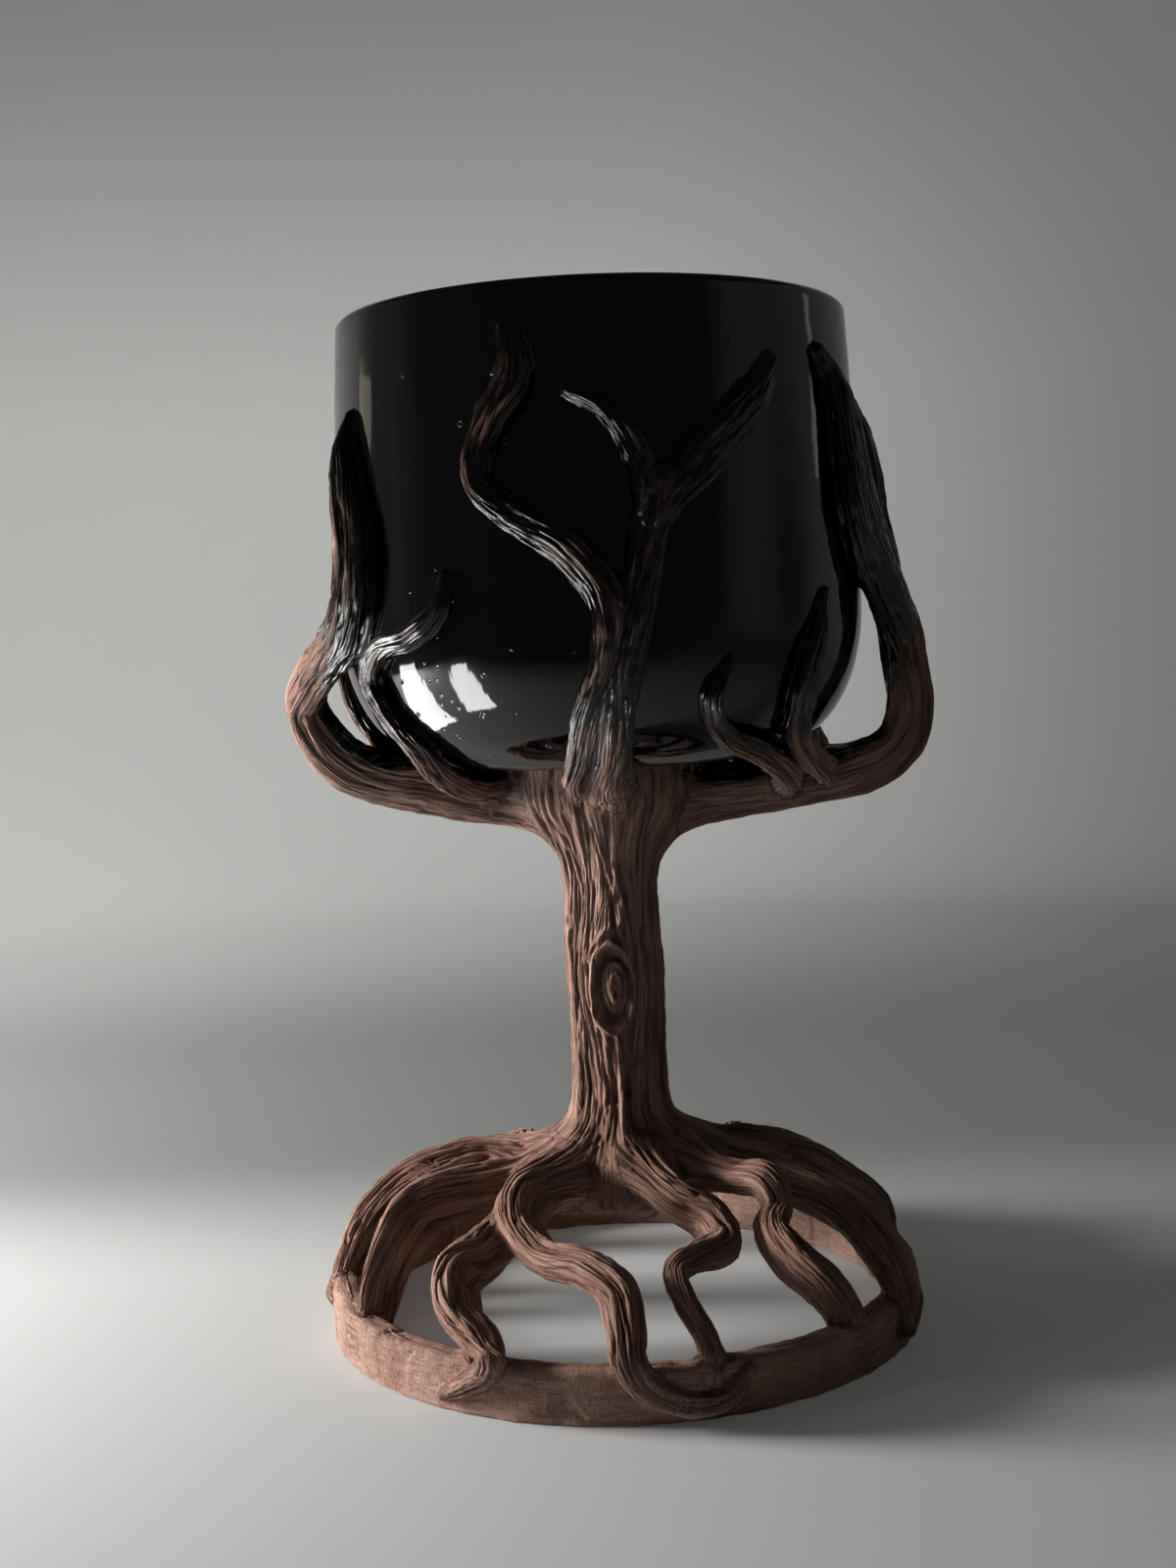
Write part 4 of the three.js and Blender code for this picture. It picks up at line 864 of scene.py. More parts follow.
def glaze_cover(own, cup, points, ways):
    """How far into the glaze a place on the clay lies, in mm: below 0 it is bare."""
    gap, _ = cup.locate(points)
    facing = -(ways * cup.outward(points)).sum(1)
    height = points[:, 2]
    reach = GLAZE_REACH.get(own.name, OTHER_GLAZE_REACH)
    if own.name == "limb_right":
        reach = reach + 6 * smooth(128, 150, height)
    dipped = height + 12 * np.maximum(ways[:, 2], 0) - DIP_LINES.get(own.name, OTHER_DIP_LINE)
    inside = 8 * np.maximum(facing, 0) * smooth(102, 110, height) * smooth(14, 8, gap)
    return np.clip(np.minimum(2.2 * (reach - gap), dipped) + inside, -12, 12)


def bring_in(name, data):
    """A new object in the scene, made of a mesh, a lamp or a lens."""
    thing = bpy.data.objects.new(name, data)
    bpy.context.scene.collection.objects.link(thing)
    return thing


def walls(points, closed=False):
    """Four-sided faces between each row of points and the next; closed joins the last row to the first."""
    rows, sides = points.shape[:2]
    across = np.arange(sides)
    beside = (across + 1) % sides
    faces = []
    for i in range(rows if closed else rows - 1):
        low, high = i * sides, (i + 1) % rows * sides
        faces += np.stack([low + across, low + beside, high + beside, high + across], 1).tolist()
    return faces


def smooth_piece(name, places, faces):
    """A piece with a smooth skin, from places in metres and faces."""
    mesh = bpy.data.meshes.new(name)
    mesh.from_pydata(places.tolist(), [], faces)
    mesh.polygons.foreach_set("use_smooth", np.ones(len(faces), bool))
    mesh.update()
    return bring_in(name, mesh)


def build_mesh(name, points, ends):
    """A closed piece from rows of points in mm, with a pole at each end, or its last row on its first."""
    rows, sides = points.shape[:2]
    flat = points.reshape(-1, 3)
    faces = walls(points, closed=not ends)
    if ends:
        across = np.arange(sides)
        beside = (across + 1) % sides
        first, top = len(flat), (rows - 1) * sides
        flat = np.vstack([flat, ends])
        faces += np.stack([np.full(sides, first), beside, across], 1).tolist()
        faces += np.stack([np.full(sides, first + 1), top + across, top + beside], 1).tolist()
    return smooth_piece(name, MM * flat, faces)


def store(piece, **values):
    """Keeps values for each vertex: the grains are places, and all else is numbers."""
    for name, rows in values.items():
        kind, field = ("FLOAT_VECTOR", "vector") if name.endswith("grain") else ("FLOAT", "value")
        attribute = piece.data.attributes.new(name, kind, "POINT")
        attribute.data.foreach_set(field, np.asarray(rows, np.float32).ravel())


def roll_piece(own, bodies, cup):
    """One piece of the tree or the ring: its skin, settled onto its neighbours, and its grain and glaze."""
    points, ways, ends = own.skin()
    shape = points.shape
    flat, out = points.reshape(-1, 3), ways.reshape(-1, 3)
    if ends:
        flat = np.vstack([flat, ends])
        out = np.vstack([out, unit(np.stack([ends[0] - points[0].mean(0), ends[1] - points[-1].mean(0)]))])
    flat = settle(own, bodies, flat, out)
    flat[:, 2] = np.maximum(flat[:, 2], 0 if own.name == "foot_ring" else ROOT_LIFT)
    grain, other_grain, share, depth = grain_of(own, bodies, flat)
    if own.name not in ("trunk", "foot_ring"):
        depth = depth * np.append(np.repeat(own.stout, shape[1]), own.stout[[0, -1]])
    cover = glaze_cover(own, cup, flat, out)
    count = shape[0] * shape[1]
    piece = build_mesh(own.name + "_clay", flat[:count].reshape(shape), list(flat[count:]))
    store(piece, grain=grain, other_grain=other_grain, grain_share=share, score=depth, glaze=cover)
    return piece


# Node trees

def add(tree, kind, values=None, **settings):
    """Adds a node with its settings; a kind without Node in it is short for that ShaderNode.
    Each value goes onto the input of that name or number, as a number or as a link."""
    node = tree.nodes.new(kind if "Node" in kind else "ShaderNode" + kind)
    for key, value in settings.items():
        setattr(node, key, value)
    for key, value in (values or {}).items():
        if isinstance(value, bpy.types.Node):
            value = value.outputs[0]
        if isinstance(value, bpy.types.NodeSocket):
            tree.links.new(value, node.inputs[key])
        else:
            node.inputs[key].default_value = value
    return node


def linear(code):
    """An sRGB hex colour as linear light."""
    parts = [int(code[k : k + 2], 16) / 255 for k in (1, 3, 5)]
    return (*[c / 12.92 if c <= 0.04045 else ((c + 0.055) / 1.055) ** 2.4 for c in parts], 1)


def geometry_tree(name, result, result_kind, inputs):
    """A tree with one result, and what its named inputs give."""
    tree = bpy.data.node_groups.new(name, "GeometryNodeTree")
    tree.interface.new_socket(result, in_out="OUTPUT", socket_type="NodeSocket" + result_kind)
    for label, kind in inputs.items():
        tree.interface.new_socket(label, in_out="INPUT", socket_type="NodeSocket" + kind)
    return tree, tree.nodes.new("NodeGroupInput").outputs


def per_mm(across, along):
    """How often marks of this size in mm come in each mm across and along a coil."""
    return 1 / across, 1 / across, 1 / along


def depth_patches(tree, given):
    """How deep the needle went in each place: full depth in some patches and the least depth in others."""
    fade = add(tree, "VectorMath", {0: given["Grain"], 1: per_mm(2.4, 14)}, operation="MULTIPLY")
    patchy = add(tree, "TexNoise", {"Vector": fade, "W": given["Seed"], "Scale": 1, "Detail": 1},
                 noise_dimensions="4D")
    depth = {"Value": patchy, "From Min": 0.34, "From Max": 0.58, "To Min": given["Least"]}
    return add(tree, "MapRange", depth)


def cut_height(tree, side, deep, given):
    """Ends a tree of furrows: its height is 1 on a strand's back and less by a crease's depth beside it."""
    inner = add(tree, "Math", {0: 1.0, 1: side}, operation="SUBTRACT")
    inner = add(tree, "Math", {0: inner, 1: inner}, operation="MULTIPLY")
    wall = add(tree, "Math", {0: 1.0, 1: inner}, operation="SUBTRACT")
    wall = add(tree, "Math", {0: wall, 1: given["Sharp"]}, operation="POWER")
    missing = add(tree, "Math", {0: 1.0, 1: wall}, operation="SUBTRACT")
    cut = add(tree, "Math", {0: missing, 1: deep}, operation="MULTIPLY")
    height = add(tree, "Math", {0: 1.0, 1: cut}, operation="SUBTRACT")
    add(tree, "NodeGroupOutput", {"Height": height})
    return tree


# What a tree of furrows is given: a place in the grain and the furrows' sizes
NEEDLE = {"Grain": "Vector", **{size: "Float" for size in ("Width", "Length", "Sharp", "Least", "Seed")}}

# Furrows stray in bends this wide in mm, and drawn lines stray over a band this many lines wide
BEND_WIDTH = 5
STRAY = 11.0


def line_tree():
    """Long furrows side by side round a coil, in an even count.
    They wander and bunch, and each has its own depth."""
    tree, given = geometry_tree("drawn lines", "Height", "Float", NEEDLE)
    flat = add(tree, "VectorMath", {0: given["Grain"], 1: (1, 1, 0)}, operation="MULTIPLY")
    girth = add(tree, "VectorMath", {0: flat}, operation="LENGTH").outputs["Value"]
    around = add(tree, "Math", {0: girth, 1: 2 * math.pi}, operation="MULTIPLY")
    lines = add(tree, "Math", {0: around, 1: given["Width"]}, operation="DIVIDE")
    count = add(tree, "Math", {0: lines}, operation="ROUND")
    x, y, z = add(tree, "SeparateXYZ", {0: given["Grain"]}).outputs
    turn = add(tree, "Math", {0: y, 1: x}, operation="ARCTAN2")
    turns = add(tree, "Math", {0: turn, 1: 2 * math.pi}, operation="DIVIDE")
    slow = add(tree, "CombineXYZ", {
        0: add(tree, "Math", {0: x, 1: 1 / BEND_WIDTH}, operation="MULTIPLY"),
        1: add(tree, "Math", {0: y, 1: 1 / BEND_WIDTH}, operation="MULTIPLY"),
        2: add(tree, "Math", {0: z, 1: given["Length"]}, operation="DIVIDE"),
    })
    bends = {"Vector": slow, "W": given["Seed"], "Scale": 1, "Detail": 2, "Roughness": 0.4}
    stray = add(tree, "TexNoise", bends, noise_dimensions="4D")
    centred = add(tree, "Math", {0: stray, 1: 0.5}, operation="SUBTRACT")
    line = add(tree, "Math", {0: centred, 1: STRAY}, operation="MULTIPLY")
    line = add(tree, "Math", {0: turns, 1: count, 2: line}, operation="MULTIPLY_ADD")
    half = add(tree, "Math", {0: line, 1: 0.5}, operation="PINGPONG")
    side = add(tree, "Math", {0: half, 1: 2.4}, operation="MULTIPLY", use_clamp=True)
    number = add(tree, "Math", {0: line}, operation="ROUND")
    number = add(tree, "Math", {0: number, 1: count, 2: 0}, operation="WRAP")
    own = add(tree, "VectorMath", {0: number, 1: given["Seed"]})
    chance = add(tree, "TexWhiteNoise", {"Vector": own}, noise_dimensions="3D")
    chance = add(tree, "MapRange", {"Value": chance, "To Min": 0.35, "To Max": 1.25})
    deep = add(tree, "Math", {0: chance, 1: depth_patches(tree, given)}, operation="MULTIPLY")
    return cut_height(tree, side, deep, given)


def strand_tree():
    """Furrows that part and meet again, so that long narrow strands of clay stand between them."""
    tree, given = geometry_tree("parted strands", "Height", "Float", NEEDLE)
    slow = add(tree, "VectorMath", {0: given["Grain"], 1: per_mm(BEND_WIDTH, 18)}, operation="MULTIPLY")
    stray = add(tree, "TexNoise", {"Vector": slow, "W": given["Seed"], "Scale": 1, "Detail": 1.5},
                noise_dimensions="4D").outputs["Color"]
    centred = add(tree, "VectorMath", {0: stray, 1: (0.5, 0.5, 0.5)}, operation="SUBTRACT")
    drift = add(tree, "VectorMath", {0: centred, 1: (3, 3, 10)}, operation="MULTIPLY")
    place = add(tree, "VectorMath", {0: given["Grain"], 1: drift})
    place = add(tree, "SeparateXYZ", {0: place}).outputs
    across = [add(tree, "Math", {0: place[k], 1: given["Width"]}, operation="DIVIDE") for k in (0, 1)]
    along = add(tree, "Math", {0: place[2], 1: given["Length"]}, operation="DIVIDE")
    along = add(tree, "Math", {0: along, 1: given["Seed"]})
    cell = add(tree, "CombineXYZ", {0: across[0], 1: across[1], 2: along})
    edge = add(tree, "TexVoronoi", {"Vector": cell, "Scale": 1, "Randomness": 1}, feature="DISTANCE_TO_EDGE")
    side = add(tree, "Math", {0: edge, 1: 3.0}, operation="MULTIPLY", use_clamp=True)
    return cut_height(tree, side, depth_patches(tree, given), given)


# The sets of furrows: lines or strands, how wide apart and how long in mm, how sharp their edges are,
# the least depth of a furrow, and the share of the whole depth
FURROWS = (
    ("lines", 1.5, 30, 0.75, 0.3, 0.34), ("strands", 3.0, 66, 0.65, 0.2, 0.36),
    ("strands", 1.3, 34, 0.7, 0.15, 0.2), ("lines", 0.8, 16, 0.8, 0.1, 0.12),
)

# How far apart the sets lie in the noise, so that no two are alike
SEEDS_APART = 3.7

# Strands this high lie on the smooth skin: higher ones stand out from it, and furrows are cut into it
FACE_HEIGHT = 0.84


def scoring_tree(needles):
    """Cuts the furrows into a skin along its grain, and where two coils are luted, fades their grains
    into each other. Nothing is pushed out past the lowest and highest corner of the chalice."""
    tree, given = geometry_tree("scored bark", "Geometry", "Geometry", {
        "Geometry": "Geometry", "Spacing": "Float", "Depth": "Float", "Lumps": "Float",
        "Lowest": "Vector", "Highest": "Vector", "Finish": "Material",
    })
    read = {}
    for name in ("grain", "other_grain", "grain_share", "score"):
        kind = "FLOAT_VECTOR" if name.endswith("grain") else "FLOAT"
        read[name] = add(tree, "GeometryNodeInputNamedAttribute", {"Name": name}, data_type=kind)
    cut = []
    for name in ("grain", "other_grain"):
        whole = 1.0 - sum(share for *_, share in FURROWS)
        for number, (kind, width, length, sharp, least, share) in enumerate(FURROWS):
            wide = add(tree, "Math", {0: given["Spacing"], 1: width}, operation="MULTIPLY")
            seed = SEEDS_APART * number
            sizes = {"Width": wide, "Length": length, "Sharp": sharp, "Least": least, "Seed": seed}
            one = add(tree, "GeometryNodeGroup", {"Grain": read[name], **sizes}, node_tree=needles[kind])
            whole = add(tree, "Math", {0: one, 1: share, 2: whole}, operation="MULTIPLY_ADD")
        cut.append(whole)
    height = add(tree, "Mix", {"Factor": read["grain_share"], "A": cut[0], "B": cut[1]})
    sunk = add(tree, "Math", {0: height, 1: FACE_HEIGHT}, operation="SUBTRACT")
    deep = add(tree, "Math", {0: given["Depth"], 1: read["score"]}, operation="MULTIPLY")
    push = add(tree, "Math", {0: sunk, 1: deep}, operation="MULTIPLY")
    place = add(tree, "GeometryNodeInputPosition")
    lumps = add(tree, "TexNoise", {"Vector": place, "Scale": 1000 / 4, "Detail": 2, "Roughness": 0.5})
    dent = {"Value": lumps, "From Min": 0.3, "From Max": 0.7, "To Min": -1, "To Max": 0}
    dent = add(tree, "MapRange", dent)
    dent = add(tree, "Math", {0: dent, 1: given["Lumps"], 2: push}, operation="MULTIPLY_ADD")
    way = add(tree, "GeometryNodeInputNormal")
    offset = add(tree, "VectorMath", {0: way, "Scale": dent}, operation="SCALE")
    target = add(tree, "VectorMath", {0: place, 1: offset})
    target = add(tree, "VectorMath", {0: target, 1: given["Lowest"]}, operation="MAXIMUM")
    target = add(tree, "VectorMath", {0: target, 1: given["Highest"]}, operation="MINIMUM")
    moved = add(tree, "GeometryNodeSetPosition", {"Geometry": given["Geometry"], "Position": target})
    # The relief's height, kept as furrow, also sets the clay's colour in the finishes: painted shade in the
    # furrows and painted light on the ridges
    plain = add(tree, "Math", {0: read["score"], 1: 1.6}, operation="MULTIPLY", use_clamp=True)
    shown = add(tree, "Mix", {"Factor": plain, "A": 0.8, "B": height})
    kept = add(tree, "GeometryNodeStoreNamedAttribute", {"Geometry": moved, "Name": "furrow", "Value": shown},
               data_type="FLOAT", domain="POINT")
    real = add(tree, "GeometryNodeRealizeInstances", {"Geometry": kept})
    done = add(tree, "GeometryNodeSetMaterial", {"Geometry": real, "Material": given["Finish"]})
    add(tree, "NodeGroupOutput", {"Geometry": done})
    return tree


def grow(piece, tree, values):
    """Runs a geometry tree on a piece and keeps what it makes as the piece's plain mesh."""
    modifier = piece.modifiers.new(tree.name, "NODES")
    modifier.node_group = tree
    for item in tree.interface.items_tree:
        if item.in_out == "INPUT" and item.name in values:
            modifier[item.identifier] = values[item.name]
    graph = bpy.context.evaluated_depsgraph_get()
    made = piece.evaluated_get(graph)
    mesh = bpy.data.meshes.new_from_object(made, preserve_all_data_layers=True, depsgraph=graph)
    piece.modifiers.clear()
    old, piece.data = piece.data, mesh
    bpy.data.meshes.remove(old)
    mesh.name = piece.name
    return piece


# Finishes

# The IOR of glaze and of glassy stoneware
FIRED_IOR = 1.52


def new_finish(name):
    """A new material, its empty tree, and the place on the piece in metres."""
    finish = bpy.data.materials.new(name)
    finish.use_nodes = True
    tree = finish.node_tree
    tree.nodes.clear()
    return finish, tree, add(tree, "TexCoord").outputs["Object"]


def stoneware(name, nicks=0, pale=0):
    """Dark red-brown stoneware, fired matte, with painted shade in the furrows and painted light on the
    ridges.
    Where the dipped glaze runs out on it, it is first a glossy rust brown and then black,
    and always brown over sharp ridges."""
    finish, tree, place = new_finish(name)
    furrow = add(tree, "Attribute", attribute_name="furrow").outputs["Fac"]
    grain = add(tree, "Attribute", attribute_name="grain").outputs["Vector"]
    cover = add(tree, "Attribute", attribute_name="glaze").outputs["Fac"]

    # Relief: fibres along the coil 0.32 mm wide, hair-thin scratches between them, the clay's 0.25 mm grit,
    # and nicks 0.3 by 1.5 mm across a pressed strip
    thin = add(tree, "VectorMath", {0: grain, 1: per_mm(0.32, 4.5)}, operation="MULTIPLY")
    fibre = add(tree, "TexNoise", {"Vector": thin, "Scale": 1, "Detail": 2, "Roughness": 0.6})
    hair = add(tree, "VectorMath", {0: grain, 1: per_mm(0.8, 16)}, operation="MULTIPLY")
    hair = add(tree, "TexNoise", {"Vector": hair, "Scale": 1, "Detail": 1})
    hair = add(tree, "Math", {0: hair, 1: 0.5}, operation="SUBTRACT")
    hair = add(tree, "Math", {0: hair}, operation="ABSOLUTE")
    hair = add(tree, "MapRange", {"Value": hair, "From Max": 0.06, "To Max": 0.9})
    grit = add(tree, "TexNoise", {"Vector": place, "Scale": 1000 / 0.25, "Detail": 3, "Roughness": 0.65})
    upright = add(tree, "VectorMath", {0: grain, 1: (1 / 3, 1 / 1.5, 1 / 0.3)}, operation="MULTIPLY")
    nick = add(tree, "TexNoise", {"Vector": upright, "Scale": 1, "Detail": 1})
    nick = add(tree, "MapRange", {"Value": nick, "From Min": 0.58, "From Max": 0.64, "To Max": -2.4 * nicks})
    relief = add(tree, "Math", {0: fibre, 1: 1 - 0.6 * nicks})
    relief = add(tree, "Math", {0: grit, 1: 0.55, 2: relief}, operation="MULTIPLY_ADD")
    relief = add(tree, "Math", {0: hair, 1: 1 - 0.8 * nicks, 2: relief}, operation="MULTIPLY_ADD")
    relief = add(tree, "Math", {0: relief, 1: nick})

    # Clay colour: patches 14 mm across, grog specks 0.5 mm, and painted shade that darkens the furrows and
    # lightens the ridges
    patches = add(tree, "TexNoise", {"Vector": place, "Scale": 1000 / 14, "Detail": 3})
    specks = add(tree, "TexNoise", {"Vector": place, "Scale": 1000 / 0.5, "Detail": 2, "Roughness": 0.7})
    # The furrow's height sets the tone: painted shade in the cuts and painted light on the strands' backs
    tone = add(tree, "Math", {0: patches, 1: 0.5, 2: furrow}, operation="MULTIPLY_ADD")
    tone = add(tree, "Math", {0: specks, 1: 0.3, 2: tone}, operation="MULTIPLY_ADD")
    tone = add(tree, "Math", {0: fibre, 1: 0.4, 2: tone}, operation="MULTIPLY_ADD")
    # pale lifts the tone of a whole piece: painted light, which brightens the ring's clay where the lamp
    # barely reaches it
    tone = add(tree, "MapRange", {"Value": tone, "From Min": 0.85 - pale, "From Max": 1.75 - pale})
    shade = add(tree, "ValToRGB", {"Fac": tone})
    ramp = shade.color_ramp
    ramp.elements[0].color, ramp.elements[1].color = linear("#32211c"), linear("#c6a493")
    for share, code in ((0.35, "#62463a"), (0.7, "#947265")):
        ramp.elements.new(share).color = linear(code)

    # The glaze thins out over some 6 mm in runs that follow the coil; 0 is bare clay and 1 a full coat
    run = add(tree, "VectorMath", {0: grain, 1: per_mm(1.4, 9)}, operation="MULTIPLY")
    run = add(tree, "TexNoise", {"Vector": run, "Scale": 1, "Detail": 2.5, "Roughness": 0.6})
    edge = {"Value": run, "From Min": 0.3, "From Max": 0.7, "To Min": -4.5, "To Max": 4.5}
    edge = add(tree, "MapRange", edge)
    edge = add(tree, "Math", {0: edge, 1: cover})
    edge = add(tree, "Math", {0: furrow, 1: -3.0, 2: edge}, operation="MULTIPLY_ADD")
    soft = {"interpolation_type": "SMOOTHSTEP"}
    wet = add(tree, "MapRange", {"Value": edge, "From Min": -2.6, "From Max": 0.6}, **soft)
    coat = add(tree, "MapRange", {"Value": edge, "From Min": -1.6, "From Max": 4.5}, **soft)
    broken = add(tree, "MapRange", {"Value": furrow, "From Min": 0.78, "From Max": 1.02})
    dark = add(tree, "Mix", {"Factor": broken, 6: linear("#060505"), 7: linear("#170e0a")}, data_type="RGBA")
    rusty = add(tree, "Mix", {"Factor": 0.62, 6: shade, 7: linear("#1f120c")}, data_type="RGBA")
    colour = add(tree, "Mix", {"Factor": wet, 6: shade, 7: rusty.outputs[2]}, data_type="RGBA")
    colour = add(tree, "Mix", {"Factor": coat, 6: colour.outputs[2], 7: dark.outputs[2]}, data_type="RGBA")
    matte = add(tree, "MapRange", {"Value": specks, "To Min": 0.78, "To Max": 0.95})
    rough = add(tree, "Mix", {"Factor": wet, 2: matte, 3: 0.55})
    rough = add(tree, "Mix", {"Factor": coat, 2: rough, 3: 0.12})

    bare = add(tree, "MapRange", {"Value": coat, "To Min": 1.0, "To Max": 0.16})
    bump = add(tree, "Bump", {"Strength": bare, "Distance": 0.2 * MM, "Height": relief})
    clay = {"Base Color": colour.outputs[2], "Roughness": rough, "Normal": bump, "IOR": FIRED_IOR}
    add(tree, "OutputMaterial", {"Surface": add(tree, "BsdfPrincipled", clay)})
    return finish


def black_glaze():
    """Tenmoku-black gloss glaze over a thrown wall: deep mirror-like black with slow waves from the throwing,
    runs down the wall and pinholes where gas left it."""
    finish, tree, place = new_finish("black_gloss_glaze")
    waves = add(tree, "TexNoise", {"Vector": place, "Scale": 1000 / 13, "Detail": 1})
    tall = add(tree, "Mapping", {"Vector": place, "Scale": (1000 / 4, 1000 / 4, 1000 / 60)})
    runs = add(tree, "TexNoise", {"Vector": tall, "Scale": 1, "Detail": 2})
    peel = add(tree, "TexNoise", {"Vector": place, "Scale": 1000 / 1.1, "Detail": 1})
    relief = add(tree, "Math", {0: runs, 1: 0.45, 2: waves}, operation="MULTIPLY_ADD")
    relief = add(tree, "Math", {0: peel, 1: 0.03, 2: relief}, operation="MULTIPLY_ADD")

    # Burst bubbles: pits with a raised lip 0.9 mm wide, many low on the left of the belly and few elsewhere
    bubble = add(tree, "TexVoronoi", {"Vector": place, "Scale": 1000 / 2.7, "Randomness": 1})
    from_middle = bubble.outputs["Distance"]
    off = add(tree, "Math", {0: from_middle, 1: 0.17}, operation="SUBTRACT")
    off = add(tree, "Math", {0: off, 1: off}, operation="MULTIPLY")
    lip = add(tree, "MapRange", {"Value": off, "From Max": 0.003, "To Min": 1, "To Max": 0})
    pit = add(tree, "MapRange", {"Value": from_middle, "From Max": 0.15, "To Min": -1.6, "To Max": 0})
    crater = add(tree, "Math", {0: lip, 1: pit})
    cluster = tuple(MM * polar(-32, 52, 134))
    apart = add(tree, "VectorMath", {0: place, 1: cluster}, operation="DISTANCE").outputs["Value"]
    rarer = {"Value": apart, "From Min": 0.007, "From Max": 0.02, "To Min": 0.45, "To Max": 0.985}
    here = add(tree, "MapRange", rarer)
    some = add(tree, "SeparateColor", {0: bubble.outputs["Color"]})
    open_one = add(tree, "Math", {0: some, 1: here}, operation="GREATER_THAN")
    crater = add(tree, "Math", {0: crater, 1: open_one}, operation="MULTIPLY")
    relief = add(tree, "Math", {0: crater, 1: 0.45, 2: relief}, operation="MULTIPLY_ADD")
    bump = add(tree, "Bump", {"Strength": 1, "Distance": 0.16 * MM, "Height": relief})
    specks = add(tree, "TexNoise", {"Vector": place, "Scale": 1000 / 0.45, "Detail": 2})
    fleck = add(tree, "MapRange", {"Value": specks, "From Min": 0.68, "From Max": 0.8})
    colour = add(tree, "Mix", {"Factor": fleck, 6: linear("#070708"), 7: linear("#1c1612")}, data_type="RGBA")
    rough = add(tree, "MapRange", {"Value": runs, "To Min": 0.03, "To Max": 0.09})
    glaze = {"Base Color": colour.outputs[2], "Roughness": rough, "Normal": bump, "IOR": FIRED_IOR}
    add(tree, "OutputMaterial", {"Surface": add(tree, "BsdfPrincipled", glaze)})
    return finish


# Pieces

def throw_cup(finish):
    """The cup as a closed wall: outside, rounded lip, inside and floor."""
    lip = CUP_LIP / 2
    turn = np.linspace(0, math.pi, 14)[1:-1]
    over = np.stack([CUP_RIM_RADIUS - lip + lip * np.cos(turn), CUP_HEIGHT - lip + lip * np.sin(turn)], 1)
    inner = CUP_LINE[::-1]
    inner = inner[inner[:, 1] > CUP_FLOOR + 7]
    thin = CUP_LIP + (CUP_WALL - CUP_LIP) * smooth(CUP_HEIGHT, CUP_HEIGHT - 14, inner[:, 1])
    inner = inner - np.stack([thin, np.zeros(len(inner))], 1)
    bend = [inner[-1], (inner[-1][0] - 3, CUP_FLOOR + 0.6), (0.62 * CUP_BASE_RADIUS, CUP_FLOOR)]
    bowl = bezier(bend, 30)[1:]
    under = np.stack([np.linspace(2, CUP_BASE_RADIUS - 0.4, 12), np.zeros(12)], 1)
    floor = np.stack([np.linspace(bowl[-1][0], 2, 14)[1:], np.full(13, CUP_FLOOR)], 1)
    radius, height = even_steps(np.vstack([under, CUP_LINE, over, inner, bowl, floor]), CUP_STEPS)
    azimuth = np.linspace(-math.pi, math.pi, CUP_SIDES, endpoint=False)[None]
    throwing = 0.016 * np.cos(0.7 * height + azimuth) * smooth(8, 20, height) * smooth(CUP_HEIGHT, 80, height)
    points = spin(radius - 0.05 + throwing, CUP_SEAT + height, azimuth)
    ends = [np.array([0, 0, CUP_SEAT]), np.array([0, 0, CUP_SEAT + CUP_FLOOR])]
    piece = build_mesh("cup_glazed", points, ends)
    piece.data.materials.append(finish)
    return piece


def press_knot():
    """The knot's core: a nut-shaped pellet pressed into the hollow, with rings and a slit in its face."""
    tilt = np.linspace(-math.pi / 2, math.pi / 2, 60)[1:-1, None]
    turn = np.linspace(0, 2 * math.pi, 96, endpoint=False)[None]
    across, up = np.cos(tilt) * np.sin(turn), np.sin(tilt) + 0 * turn
    face = smooth(0, 0.3, np.cos(tilt) * np.cos(turn))
    slit = 0.7 * np.exp(-((across / 0.13) ** 2)) * smooth(0.55, 0.3, np.abs(up))
    rings = 0.24 * np.cos(14 * np.hypot(across, up)) - slit
    x = KNOT_CORE * KNOT_HALF_WIDTH * across
    y = KNOT_CORE_DEPTH * (np.cos(tilt) * np.cos(turn) - 1) + face * rings
    z = KNOT_CORE * KNOT_HALF_HEIGHT * up
    azimuth = math.radians(KNOT_CORE_AZIMUTH)
    points = np.stack([
        x * math.cos(azimuth) + (TRUNK_RADIUS + y) * math.sin(azimuth),
        x * math.sin(azimuth) - (TRUNK_RADIUS + y) * math.cos(azimuth),
        KNOT_HEIGHT + z,
    ], 2)
    half = KNOT_CORE * KNOT_HALF_HEIGHT
    ends = [polar(KNOT_CORE_AZIMUTH, TRUNK_RADIUS - KNOT_CORE_DEPTH, KNOT_HEIGHT + s * half) for s in (-1, 1)]
    piece = build_mesh("trunk_knot_clay", points, ends)
    height = np.vstack([points.reshape(-1, 3), ends])[:, 2]
    round_it = np.append(np.broadcast_to(turn, x.shape).ravel(), [0, 0])
    grain = np.stack([3 * np.sin(round_it), 3 * np.cos(round_it), height + 900], 1)
    even = np.ones(len(height))
    store(piece, grain=grain, other_grain=grain, grain_share=0 * even, score=0.5 * even, glaze=-3 * even)
    return piece


def carry(piece, node):
    """Puts a finished piece on the body and hides the solid that it stands for."""
    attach(piece, "root")
    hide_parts(node)


# Studio

# Sizes in metres: the flat of the table round the chalice, the bend up from it, and the wall over the bend
TABLE_REACH = 0.58
TABLE_BEND = 0.3
TABLE_WALL = 0.5

# What the table gives off by itself, and what comes from all round
GLOW = 0.035
AIR_STRENGTH = 0.035


